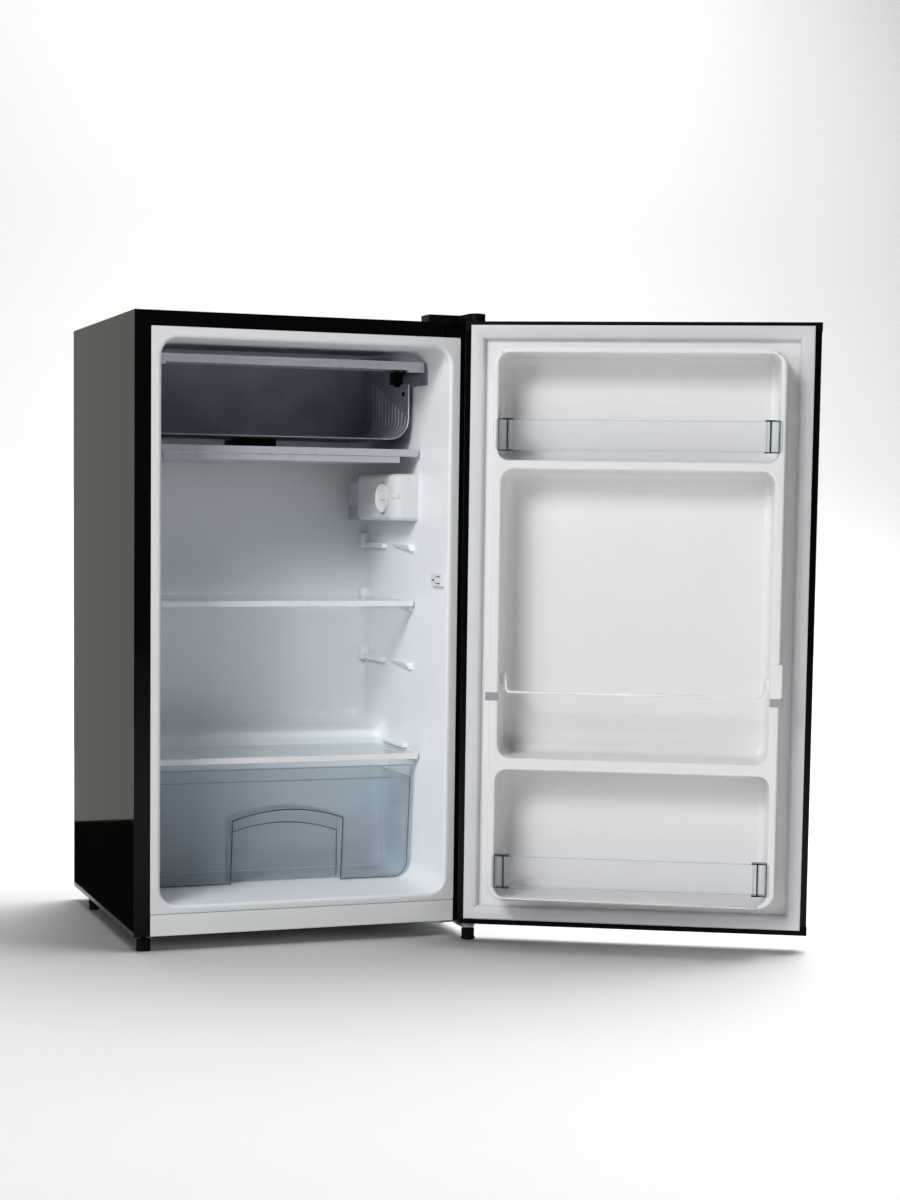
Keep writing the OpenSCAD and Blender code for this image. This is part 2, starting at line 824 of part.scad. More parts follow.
// the raised dyke with its three pockets, as one solid; g shrinks it to what lies behind the sheet
module dyke(g) {
    difference() {
        along_y(door_back - 2, dyke_h - g) round_rect(dyke_x - g, dyke_z0 + g, dyke_z1 - g, open_r - g);
        for (p = pockets) along_y(pocket_y - g, dyke_h + cut)
            round_rect(p[0] + g, p[1] - g, p[2] + g, p[3] + g);
    }
}

module door_foam() color("#e8d9a8") door_place() {
    x = half_w - steel_t;
    difference() {
        union() {
            box([-x, door_front + steel_t, door_z0 + cap_h], [x, door_back - 2, door_z1 - cap_h]);
            dyke(liner_t);
        }
        for (p = pockets) along_y(pocket_y - liner_t, dyke_h + cut)
            round_rect(p[0] + liner_t, p[1] - liner_t, p[2] + liner_t, p[3] + liner_t);
        grip_block(-half_w);
    }
}

module door_liner() color("#f1f2f4") door_place() {
    x = gasket_x - 1;
    z0 = door_z0 + cap_h;
    z1 = door_z1 - cap_h;
    difference() {
        union() {
            box([-x, door_back - 2, z0], [x, door_back, z1]);
            along_y(door_back - 2, dyke_h) round_rect(dyke_x, dyke_z0, dyke_z1, open_r);
            for (p = pockets) along_y(pocket_y - liner_t, door_back)
                round_rect(p[0] + liner_t, p[1] - liner_t, p[2] + liner_t, p[3] + liner_t);
        }
        dyke(liner_t);
        for (p = pockets) along_y(pocket_y, dyke_h + cut) round_rect(p[0], p[1], p[2], p[3]);
    }
}

module gasket_frame(inset, w, y0, y1) {
    difference() {
        box([-gasket_x + inset, y0, gasket_z0 + inset], [gasket_x - inset, y1, gasket_z1 - inset]);
        box([-gasket_x + inset + w, y0 - cut, gasket_z0 + inset + w],
            [gasket_x - inset - w, y1 + cut, gasket_z1 - inset - w]);
    }
}

module door_gasket() color("#f4f4f6") door_place() {
    difference() {
        gasket_frame(0, gasket_w, door_back, -gasket_gap);
        gasket_frame(4, 10, -gasket_gap - 5, -gasket_gap - 1.2);
    }
}

module gasket_magnets() color("#4a3c34") door_place() {
    gasket_frame(4.4, 9.2, -gasket_gap - 4.8, -gasket_gap - 1.4);
}

// a clear retaining bar with a clip at each end
module rack_bar(p, z) {
    x1 = p[0] - 0.3;
    x0 = x1 - bar_end_w + 2;
    box([-x0 - eps, dyke_h - 6, z[0]], [x0 + eps, dyke_h - 3.5, z[1]]);
    both_sides() {
        difference() {
            box([x0, dyke_h - 16, z[0] - 1], [x1, dyke_h - 0.5, z[1] + 1]);
            box([x0 - cut, dyke_h - 17, z[0] + 1.5], [x1 - 2, dyke_h - 3.5, z[1] - 1.5]);
        }
        box([x1 - 4, dyke_h - 0.5 - eps, z[0]], [x1, dyke_h + 2, z[1]]);
        box([x1 - eps, dyke_h + 0.2, z[0]], [x1 + 3.5, dyke_h + 2, z[1]]);
    }
}

module top_rack_bar() color("#d5e2e8") door_place() {
    rack_bar(pockets[0], top_bar_z);
}

module bottom_rack_bar() color("#d5e2e8") door_place() {
    rack_bar(pockets[2], low_bar_z);
}

module wire_rail() color("#f6f6f6") door_place() {
    z = base_z + 326;
    x = 166;
    y = dyke_h - 8;
    path = [[-x - 8, y - 16, z + 18], [-x - 2.5, y - 12, z + 25], [-x, y, z], [x, y, z],
        [x + 2.5, y - 12, z + 25], [x + 8, y - 16, z + 18]];
    bent_bar(path, 1.75);
}

module wire_sockets() color("#8a9095") door_place() {
    z = base_z + 342;
    x1 = pockets[1][0] - 0.2;
    both_sides() difference() {
        box([x1 - 6, dyke_h - 30, z - 7], [x1, dyke_h - 18, z + 7]);
        translate([x1 - 7, dyke_h - 24, z + 2]) rotate([0, 90, 0]) cylinder(r = 1.9, h = 6);
    }
}

outer_shell();
back_panel();
bottom_panel();
compressor_bay_panel();
compressor_plate();
insulation_foam();
inner_liner();
kick_strip();
compressor();
compressor_grommets();
start_relay();
refrigerant_pipes();
filter_drier();
condenser_coil();
cord_gland();
evaporator();
evaporator_screws();
pipe_sleeve();
flap_brackets();
freezer_flap();
tray_rails();
drip_tray();
thermostat_housing();
thermostat_body();
thermostat_knob();
lamp_holder();
lamp_bulb();
lamp_cover();
switch_housing();
switch_button();
shelf_glass();
shelf_trim();
cover_glass();
cover_trim();
crisper_bin();
left_foot();
left_foot_socket();
right_foot();
rear_feet();
top_hinge_bracket();
hinge_screws();
top_hinge_cover();
bottom_hinge_bracket();
hinge_washer();
door_skin();
door_top_cap();
door_bottom_cap();
door_bushes();
door_foam();
door_liner();
door_gasket();
gasket_magnets();
top_rack_bar();
bottom_rack_bar();
wire_rail();
wire_sockets();
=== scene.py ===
import json
import math

import bmesh
import bpy
from mathutils import Matrix, Vector


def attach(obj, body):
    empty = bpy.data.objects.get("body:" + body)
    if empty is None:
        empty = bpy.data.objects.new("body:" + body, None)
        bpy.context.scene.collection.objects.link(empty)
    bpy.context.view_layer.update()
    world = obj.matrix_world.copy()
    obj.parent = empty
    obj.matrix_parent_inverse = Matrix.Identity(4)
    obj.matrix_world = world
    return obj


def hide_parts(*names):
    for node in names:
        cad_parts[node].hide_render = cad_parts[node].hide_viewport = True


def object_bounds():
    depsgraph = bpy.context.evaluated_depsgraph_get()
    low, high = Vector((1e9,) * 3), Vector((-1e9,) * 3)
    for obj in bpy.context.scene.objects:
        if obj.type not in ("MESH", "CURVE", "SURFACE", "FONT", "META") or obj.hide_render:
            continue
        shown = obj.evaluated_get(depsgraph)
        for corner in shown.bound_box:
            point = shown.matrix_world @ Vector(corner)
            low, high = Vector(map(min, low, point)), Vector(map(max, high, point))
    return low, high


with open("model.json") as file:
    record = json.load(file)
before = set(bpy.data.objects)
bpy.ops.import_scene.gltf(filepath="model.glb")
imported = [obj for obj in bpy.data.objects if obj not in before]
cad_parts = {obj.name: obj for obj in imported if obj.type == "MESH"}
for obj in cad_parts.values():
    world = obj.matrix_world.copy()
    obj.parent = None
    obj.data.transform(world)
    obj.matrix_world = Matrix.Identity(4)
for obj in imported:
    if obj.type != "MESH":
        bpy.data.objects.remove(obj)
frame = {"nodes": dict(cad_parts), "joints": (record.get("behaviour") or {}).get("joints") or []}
CAD_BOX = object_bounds()
NODE = frame["nodes"]
SCENE = bpy.context.scene
SCENE.view_settings.view_transform = "Standard"
MM = 0.001
QUARTER = math.pi / 2


# ---- reading the frame, in millimetres ----

class Box:
    """A node's box in millimetres, optionally after a transform."""

    def __init__(self, node, matrix=None):
        points = [v.co for v in NODE[node].data.vertices]
        if matrix is not None:
            points = [matrix @ p for p in points]
        self.x0, self.y0, self.z0 = (min(p[k] for p in points) / MM for k in range(3))
        self.x1, self.y1, self.z1 = (max(p[k] for p in points) / MM for k in range(3))


def door_matrix():
    """Turns what is built shut to the place where the door stands open."""
    joint = next(j for j in frame["joints"] if j["name"] == "door_swing")
    pivot = Vector(joint["pos_m"])
    turn = Matrix.Rotation(math.radians(-joint["range_deg"][0]), 4, "Z")
    return Matrix.Translation(pivot) @ turn @ Matrix.Translation(-pivot)


DOOR = door_matrix()
SHUT = DOOR.inverted()


# ---- mesh helpers: everything is built in millimetres ----

def bm_object(bm, name, material, matrix=None):
    """Turns a bmesh in millimetres into an object in metres."""
    bmesh.ops.remove_doubles(bm, verts=bm.verts, dist=0.002)
    bmesh.ops.recalc_face_normals(bm, faces=bm.faces)
    mesh = bpy.data.meshes.new(name)
    bm.transform(Matrix.Scale(MM, 4))
    if matrix is not None:
        bm.transform(matrix)
    bm.to_mesh(mesh)
    bm.free()
    obj = bpy.data.objects.new(name, mesh)
    SCENE.collection.objects.link(obj)
    obj.data.materials.append(material)
    for polygon in mesh.polygons:
        polygon.use_smooth = True
    return obj


def smooth(obj, bevel=0.0, segments=3, angle=35, weld=False):
    """Rounds the edges by bevel millimetres and keeps flat faces flat."""
    if weld:
        obj.modifiers.new("weld", "WELD").merge_threshold = 0.00001
        flat = obj.modifiers.new("flat", "DECIMATE")
        flat.decimate_type = "DISSOLVE"
        flat.angle_limit = math.radians(0.6)
    if bevel > 0:
        mod = obj.modifiers.new("edge", "BEVEL")
        mod.width = bevel * MM
        mod.segments = segments
        mod.limit_method = "ANGLE"
        mod.angle_limit = math.radians(angle)
        mod.harden_normals = False
    normals = obj.modifiers.new("normals", "WEIGHTED_NORMAL")
    normals.keep_sharp = True
    return obj


def piece(obj, body, slot, *nodes):
    """Makes obj a piece of the object that rides on a body and stands for some CAD nodes."""
    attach(obj, body)
    if nodes:
        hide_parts(*nodes)


def rounded(x0, x1, z0, z1, r, n=8):
    """Points round a rectangle with rounded corners, n steps to a corner."""
    r = max(r, 0.01)
    centres = ((x1 - r, z0 + r, -1), (x1 - r, z1 - r, 0), (x0 + r, z1 - r, 1), (x0 + r, z0 + r, 2))
    out = []
    for cx, cz, k in centres:
        for i in range(n + 1):
            a = (k + i / n) * QUARTER
            out.append((cx + r * math.cos(a), cz + r * math.sin(a)))
    return out


def loft(bm, rings, close=True):
    """Skins between rings of equally many points and returns their vertices."""
    made = [[bm.verts.new(p) for p in ring] for ring in rings]
    for a, b in zip(made, made[1:]):
        last = len(a) if close else len(a) - 1
        for i in range(last):
            j = (i + 1) % len(a)
            bm.faces.new((a[i], a[j], b[j], b[i]))
    return made


def arc(n, start=0.0, end=QUARTER):
    """n equal steps of an angle from start to end."""
    return [start + (end - start) * i / n for i in range(n + 1)]


def add_box(bm, x0, x1, y0, y1, z0, z1):
    """Adds a plain box as its own island; smooth() rounds it."""
    made = bmesh.ops.create_cube(bm, size=1.0)["verts"]
    for v in made:
        v.co = Vector((x0 + (v.co.x + 0.5) * (x1 - x0), y0 + (v.co.y + 0.5) * (y1 - y0),
                       z0 + (v.co.z + 0.5) * (z1 - z0)))
    return made


def soft_box(bm, x0, x1, y0, y1, z0, z1, r, n=4):
    """Adds a box with every edge rounded by r."""
    made = add_box(bm, x0, x1, y0, y1, z0, z1)
    edges = list({e for v in made for e in v.link_edges})
    bmesh.ops.bevel(bm, geom=edges, offset=r, segments=n, profile=0.5, affect="EDGES")


def tube(name, paths, radius, material, matrix=None, bend=0.0, sides=12):
    """Round tubes along paths of points, with bends of the given radius."""
    curve = bpy.data.curves.new(name, "CURVE")
    curve.dimensions = "3D"
    curve.bevel_depth = radius * MM
    curve.bevel_resolution = max(1, sides // 4 - 1)
    curve.use_fill_caps = True
    for path in paths:
        points = rounded_path(path, bend)
        spline = curve.splines.new("POLY")
        spline.points.add(len(points) - 1)
        for point, at in zip(spline.points, points):
            point.co = (*(Vector(at) * MM), 1)
        spline.use_smooth = True
    temp = bpy.data.objects.new(name + "_curve", curve)
    SCENE.collection.objects.link(temp)
    mesh = bpy.data.meshes.new_from_object(temp.evaluated_get(bpy.context.evaluated_depsgraph_get()))
    bpy.data.objects.remove(temp)
    if matrix is not None:
        mesh.transform(matrix)
    mesh.materials.clear()
    mesh.materials.append(material)
    obj = bpy.data.objects.new(name, mesh)
    SCENE.collection.objects.link(obj)
    for polygon in mesh.polygons:
        polygon.use_smooth = True
    return obj


def rounded_path(path, bend, steps=6):
    """Replaces each inner corner of a path by a short curve."""
    path = [Vector(p) for p in path]
    if bend <= 0:
        return path
    out = [path[0]]
    for a, b, c in zip(path, path[1:], path[2:]):
        reach = min(bend, (a - b).length * 0.45, (c - b).length * 0.45)
        p, q = b + (a - b).normalized() * reach, b + (c - b).normalized() * reach
        for i in range(steps + 1):
            t = i / steps
            out.append(p * (1 - t) ** 2 + b * 2 * t * (1 - t) + q * t ** 2)
    out.append(path[-1])
    return out


def mirror_x(bm, about):
    """Mirrors everything in bm across the plane x = about."""
    for v in bm.verts:
        v.co.x = 2 * about - v.co.x


def lathe(bm, profile, centre, axis="Z", sides=48):
    """Turns a profile of (radius, height) points about the Z or X axis through centre."""
    turn = {"Z": Matrix.Identity(3), "X": Matrix.Rotation(QUARTER, 3, "Y")}[axis]
    rings = []
    for r, h in profile:
        ring = []
        for i in range(sides):
            a = 2 * math.pi * i / sides
            p = turn @ Vector((max(r, 0.001) * math.cos(a), max(r, 0.001) * math.sin(a), h))
            ring.append(p + Vector(centre))
        rings.append(ring)
    made = loft(bm, rings)
    for ring in (made[0], made[-1]):
        bm.faces.new(ring)


# ---- materials ----

def material(name, colour, rough=0.5, metal=0.0, **sockets):
    """A Principled material; returns (material, node tree, shader)."""
    mat = bpy.data.materials.new(name)
    mat.use_nodes = True
    tree = mat.node_tree
    shader = tree.nodes["Principled BSDF"]
    shader.inputs["Base Color"].default_value = (*colour, 1)
    shader.inputs["Roughness"].default_value = rough
    shader.inputs["Metallic"].default_value = metal
    for key, value in sockets.items():
        shader.inputs[key.replace("_", " ")].default_value = value
    return mat, tree, shader


def noise(tree, scale, detail=3.0, rough=0.55, stretch=None):
    """A noise texture on object coordinates, in metres."""
    coord = tree.nodes.new("ShaderNodeTexCoord")
    node = tree.nodes.new("ShaderNodeTexNoise")
    node.inputs["Scale"].default_value = scale
    node.inputs["Detail"].default_value = detail
    node.inputs["Roughness"].default_value = rough
    source = coord.outputs["Object"]
    if stretch is not None:
        mapping = tree.nodes.new("ShaderNodeMapping")
        mapping.inputs["Scale"].default_value = stretch
        tree.links.new(source, mapping.inputs["Vector"])
        source = mapping.outputs["Vector"]
    tree.links.new(source, node.inputs["Vector"])
    return node.outputs["Fac"]


def along(tree, axis, near, far, low, high, soft=False):
    """Goes from low to high as an object coordinate goes from near to far, in metres."""
    coord = tree.nodes.new("ShaderNodeTexCoord")
    split = tree.nodes.new("ShaderNodeSeparateXYZ")
    tree.links.new(coord.outputs["Object"], split.inputs["Vector"])
    node = tree.nodes.new("ShaderNodeMapRange")
    if soft:
        node.interpolation_type = "SMOOTHSTEP"
    node.inputs["From Min"].default_value = near
    node.inputs["From Max"].default_value = far
    node.inputs["To Min"].default_value = low
    node.inputs["To Max"].default_value = high
    tree.links.new(split.outputs[axis], node.inputs["Value"])
    return node.outputs["Result"]


def ramp(tree, fac, stops):
    """A colour ramp from stops of (position, colour)."""
    node = tree.nodes.new("ShaderNodeValToRGB")
    while len(node.color_ramp.elements) < len(stops):
        node.color_ramp.elements.new(0.5)
    for element, (at, colour) in zip(node.color_ramp.elements, stops):
        element.position = at
        element.color = (*colour, 1)
    tree.links.new(fac, node.inputs["Fac"])
    return node.outputs["Color"]


def spread(tree, fac, low, high):
    """Maps a noise's middle range to low..high."""
    node = tree.nodes.new("ShaderNodeMapRange")
    node.inputs["From Min"].default_value = 0.3
    node.inputs["From Max"].default_value = 0.7
    node.inputs["To Min"].default_value = low
    node.inputs["To Max"].default_value = high
    tree.links.new(fac, node.inputs["Value"])
    return node.outputs["Result"]


def bump(tree, shader, heights):
    """Chains bumps of (height, strength, distance in millimetres)."""
    last = None
    for height, strength, distance in heights:
        node = tree.nodes.new("ShaderNodeBump")
        node.inputs["Strength"].default_value = strength
        node.inputs["Distance"].default_value = distance * MM
        tree.links.new(height, node.inputs["Height"])
        if last is not None:
            tree.links.new(last, node.inputs["Normal"])
        last = node.outputs["Normal"]
    tree.links.new(last, shader.inputs["Normal"])


def tint(colour, factor):
    return tuple(min(1.0, c * factor) for c in colour)


def moulded(name, colour, rough=0.35, grain=900.0, depth=0.04, vary=0.06, **sockets):
    """Moulded or formed plastic: faint mottling, uneven gloss and a fine skin texture."""
    mat, tree, shader = material(name, colour, rough, **sockets)
    broad = noise(tree, 7.0, 4.0)
    fine = noise(tree, grain, 2.0)
    wave = noise(tree, 30.0, 1.0)
    tree.links.new(ramp(tree, broad, [(0.3, tint(colour, 1 - vary)), (0.7, tint(colour, 1 + vary * 0.4))]),
                   shader.inputs["Base Color"])
    tree.links.new(spread(tree, noise(tree, 60.0, 4.0), rough * 0.82, rough * 1.2),
                   shader.inputs["Roughness"])
    bump(tree, shader, [(wave, 0.05, 0.2), (fine, 0.3, depth)])
    return mat


def edge_mask(tree, radius):
    """1 on edges within radius millimetres, 0 on flat faces."""
    node = tree.nodes.new("ShaderNodeBevel")
    node.samples = 4
    node.inputs["Radius"].default_value = radius * MM
    geometry = tree.nodes.new("ShaderNodeNewGeometry")
    dot = tree.nodes.new("ShaderNodeVectorMath")
    dot.operation = "DOT_PRODUCT"
    tree.links.new(node.outputs["Normal"], dot.inputs[0])
    tree.links.new(geometry.outputs["Normal"], dot.inputs[1])
    edge = tree.nodes.new("ShaderNodeMapRange")
    edge.inputs["From Min"].default_value = 0.98
    edge.inputs["From Max"].default_value = 0.86
    tree.links.new(dot.outputs["Value"], edge.inputs["Value"])
    return edge.outputs["Result"]


def combine(tree, operation, a, b):
    """A math node's result for two values."""
    node = tree.nodes.new("ShaderNodeMath")
    node.operation = operation
    tree.links.new(a, node.inputs[0])
    tree.links.new(b, node.inputs[1])
    return node.outputs["Value"]


def blend(tree, fac, a, colour):
    """Mixes a colour output with a plain colour."""
    mix = tree.nodes.new("ShaderNodeMix")
    mix.data_type = "RGBA"
    tree.links.new(fac, mix.inputs["Factor"])
    tree.links.new(a, mix.inputs["A"])
    mix.inputs["B"].default_value = (*colour, 1)
    return mix.outputs["Result"]


def painted(name, colour, rough=0.16, worn=(0.05, 0.05, 0.055), ior=1.22):
    """Enamelled steel: orange peel, smudged gloss and slightly rubbed edges."""
    mat, tree, shader = material(name, colour, rough, IOR=ior)
    broad = ramp(tree, noise(tree, 5.0, 5.0), [(0.3, tint(colour, 0.8)), (0.7, tint(colour, 1.25))])
    chipped = combine(tree, "MULTIPLY", edge_mask(tree, 0.8), spread(tree, noise(tree, 160.0, 5.0), 0.0, 1.0))
    tree.links.new(blend(tree, chipped, broad, worn), shader.inputs["Base Color"])
    tree.links.new(spread(tree, noise(tree, 14.0, 6.0), rough * 0.7, rough * 1.5), shader.inputs["Roughness"])
    peel = noise(tree, 420.0, 2.0)
    sag = noise(tree, 9.0, 2.0)
    bump(tree, shader, [(sag, 0.05, 1.2), (peel, 0.05, 0.05)])
    return mat


def metal(name, colour, rough=0.35, brush=(400.0, 400.0, 12.0), metallic=1.0):
    """Bare metal with a directional grain and uneven dulling."""
    mat, tree, shader = material(name, colour, rough, metallic)
    grain = noise(tree, 1.0, 3.0, stretch=brush)
    tree.links.new(ramp(tree, noise(tree, 18.0, 5.0), [(0.3, tint(colour, 0.86)), (0.7, tint(colour, 1.06))]),
                   shader.inputs["Base Color"])
    tree.links.new(spread(tree, noise(tree, 30.0, 5.0), rough * 0.75, rough * 1.3),
                   shader.inputs["Roughness"])
    bump(tree, shader, [(grain, 0.25, 0.05)])
    return mat


def rubber(name, colour, rough=0.8):
    """Soft black or white rubber with a dusty, slightly pitted skin."""
    mat, tree, shader = material(name, colour, rough)
    tree.links.new(ramp(tree, noise(tree, 25.0, 6.0), [(0.3, tint(colour, 0.8)), (0.7, tint(colour, 1.25))]),
                   shader.inputs["Base Color"])
    tree.links.new(spread(tree, noise(tree, 80.0, 4.0), rough * 0.85, rough), shader.inputs["Roughness"])
    bump(tree, shader, [(noise(tree, 1300.0, 2.0), 0.4, 0.08)])
    return mat


def clear(name, colour, through, cover=0.05, slant=0.3, rough=0.08, rim=None, width=1.0):
    """Clear plastic or glass: see-through face on, denser at a slant, and with painted shade darkening its
    edges.

    colour is what its surface scatters, through what one face lets pass, rim the colour of the painted shade
    on its edges (on the shelf glass partly its own green tint).
    """
    mat, tree, shader = material(name, colour, rough, IOR=1.5)
    glass = tree.nodes.new("ShaderNodeBsdfTransparent")
    glass.inputs["Color"].default_value = (*through, 1)
    facing = tree.nodes.new("ShaderNodeLayerWeight")
    facing.inputs["Blend"].default_value = 0.35
    solid = tree.nodes.new("ShaderNodeMapRange")
    solid.inputs["To Min"].default_value = cover
    solid.inputs["To Max"].default_value = cover + slant
    tree.links.new(facing.outputs["Facing"], solid.inputs["Value"])
    dense = solid.outputs["Result"]
    milky = ramp(tree, noise(tree, 20.0, 4.0), [(0.3, tint(colour, 0.9)), (0.7, tint(colour, 1.05))])
    if rim is not None:
        # painted shade: the edges are darkened to the rim colour and made denser
        mask = edge_mask(tree, width)
        milky = blend(tree, mask, milky, rim)
        dense = combine(tree, "MAXIMUM", dense, mask)
    tree.links.new(milky, shader.inputs["Base Color"])
    mix = tree.nodes.new("ShaderNodeMixShader")
    tree.links.new(dense, mix.inputs["Fac"])
    tree.links.new(glass.outputs["BSDF"], mix.inputs[1])
    tree.links.new(shader.outputs["BSDF"], mix.inputs[2])
    tree.links.new(mix.outputs["Shader"], tree.nodes["Material Output"].inputs["Surface"])
    tree.links.new(spread(tree, noise(tree, 50.0, 5.0), rough * 0.6, rough * 1.8), shader.inputs["Roughness"])
    bump(tree, shader, [(noise(tree, 30.0, 2.0), 0.08, 0.5), (noise(tree, 900.0, 2.0), 0.05, 0.02)])
    return mat


def foam(name, colour):
    """Rigid foam with open cells."""
    mat, tree, shader = material(name, colour, 0.9)
    cells = noise(tree, 500.0, 6.0, 0.7)
    tree.links.new(ramp(tree, cells, [(0.3, tint(colour, 0.6)), (0.7, tint(colour, 1.1))]),
                   shader.inputs["Base Color"])
    bump(tree, shader, [(cells, 0.8, 0.6)])
    return mat


GLOSS_BLACK = painted("gloss_black_enamel", (0.0015, 0.0015, 0.0017), rough=0.045, worn=(0.015, 0.015, 0.017))
BACK_BLACK = painted("satin_black_enamel", (0.016, 0.016, 0.017), rough=0.42, ior=1.4)
ZINC_SHEET = metal("zinc_sheet", (0.48, 0.50, 0.52), 0.42, (60.0, 60.0, 60.0))
FOAM = foam("insulation", (0.75, 0.62, 0.33))
LINER = moulded("formed_white_liner", (0.83, 0.865, 0.895), 0.34, 700.0, 0.02, 0.02)
DOOR_WHITE = moulded("formed_white_door_liner", (0.80, 0.80, 0.81), 0.34, 700.0, 0.02, 0.02)
WHITE = moulded("moulded_white", (0.84, 0.85, 0.86), 0.3, 1100.0, 0.03)
HOUSING = moulded("moulded_housing", (0.70, 0.72, 0.73), 0.36, 1000.0, 0.04)
STRIP_WHITE = moulded("moulded_cool_white", (0.80, 0.815, 0.82), 0.34, 900.0, 0.03)
TRAY = moulded("moulded_tray", (0.46, 0.48, 0.52), 0.3, 900.0, 0.03)
FLAP = moulded("moulded_flap", (0.54, 0.555, 0.59), 0.3, 900.0, 0.03)
GREY = moulded("moulded_grey", (0.16, 0.17, 0.19), 0.4)
# painted shade: a grey for the shaded notches under the wire rail's seats
SHADE_GREY = moulded("painted_notch_shade_grey", (0.32, 0.33, 0.34), 0.45)
BLACK = moulded("moulded_black", (0.003, 0.003, 0.0035), 0.42, 1400.0, 0.05, IOR=1.16)
BLACK_RUBBER = rubber("black_rubber", (0.02, 0.02, 0.02))
BLACK_FOAM = rubber("black_foam_tape", (0.008, 0.008, 0.010), 0.95)
VINYL = moulded("gasket_vinyl", (0.68, 0.69, 0.71), 0.5, 600.0, 0.05)
MAGNET = rubber("magnet_strip", (0.06, 0.05, 0.045))
ALUMINIUM = metal("dull_aluminium", (0.37, 0.405, 0.47), 0.46, (14.0, 500.0, 14.0), 0.45)
STEEL = metal("zinc_plated_steel", (0.62, 0.64, 0.66), 0.28)
COPPER = metal("copper", (0.62, 0.27, 0.14), 0.32, (200.0, 200.0, 40.0))
COMPRESSOR = painted("compressor_enamel", (0.012, 0.012, 0.013), rough=0.35, ior=1.45)
COIL = painted("tube_enamel", (0.03, 0.03, 0.034), rough=0.4, ior=1.45)
GLASS = clear("shelf_glass", (0.72, 0.80, 0.82), (0.97, 0.985, 0.985), 0.04, 0.3, 0.05,
              (0.06, 0.10, 0.11), 0.6)
CRISPER = clear("tinted_crisper", (0.66, 0.76, 0.84), (0.968, 0.982, 0.994), 0.12, 0.16, 0.10,
                (0.03, 0.04, 0.05), 1.0)
# painted shade: a dark material for lines drawn along the crisper's edges
CRISPER_EDGE_SHADE = clear("crisper_painted_edge_shade", (0.02, 0.028, 0.035), (0.5, 0.58, 0.62), 0.75, 0.25, 0.08)
CLEAR = clear("clear_rack_plastic", (0.78, 0.81, 0.83), (0.98, 0.985, 0.99), 0.07, 0.2, 0.12)
CLIP = clear("clear_clip_plastic", (0.66, 0.70, 0.72), (0.93, 0.95, 0.96), 0.08, 0.4, 0.08)
# painted shade: a dark material for strips along the clear clips' edges
CLIP_EDGE_SHADE = clear("clear_clip_edges", (0.02, 0.028, 0.034), (0.5, 0.58, 0.62), 0.7, 0.3, 0.08)
CHANNEL = metal("pressed_aluminium", (0.40, 0.43, 0.47), 0.42, (14.0, 500.0, 14.0), 0.75)
BRIGHT_ALUMINIUM = metal("bright_aluminium", (0.50, 0.53, 0.57), 0.3, (14.0, 500.0, 14.0), 0.8)
FROSTED = moulded("frosted_lamp_cover", (0.56, 0.59, 0.62), 0.4, 500.0, 0.08)
LAMP_GLASS = clear("lamp_glass", (0.9, 0.86, 0.76), (0.9, 0.88, 0.8), 0.3, 0.4, 0.12)
NYLON = moulded("nylon", (0.8, 0.8, 0.77), 0.45)
WIRE = painted("white_coated_wire", (0.88, 0.88, 0.88), rough=0.25, worn=(0.6, 0.6, 0.6), ior=1.5)


def paint_flange_shade(mat, colour):
    """Painted shade: the liner's front flange is coloured a little darker than its walls, though it is the
    same formed sheet.
    """
    tree = mat.node_tree
    shader = tree.nodes["Principled BSDF"]
    walls = shader.inputs["Base Color"].links[0].from_socket
    # mask of the painted shade: 1 on the front flange, 0 on the walls behind it
    front = along(tree, "Y", 0.6 * MM, 4.0 * MM, 1.0, 0.0)
    tree.links.new(blend(tree, front, walls, colour), shader.inputs["Base Color"])


# painted shade on the liner's front flange, darker than its walls
paint_flange_shade(LINER, (0.60, 0.61, 0.625))


# ---- CAD nodes whose shape is right: a material and softened edges ----

def dress(node, mat, bevel=0.4, segments=2):
    """Gives a CAD node its material and softened edges."""
    obj = NODE[node]
    if not obj.data.materials:
        obj.data.materials.append(mat)
    for slot in obj.material_slots:
        slot.material = mat
    for polygon in obj.data.polygons:
        polygon.use_smooth = True
    smooth(obj, bevel, segments, weld=True)


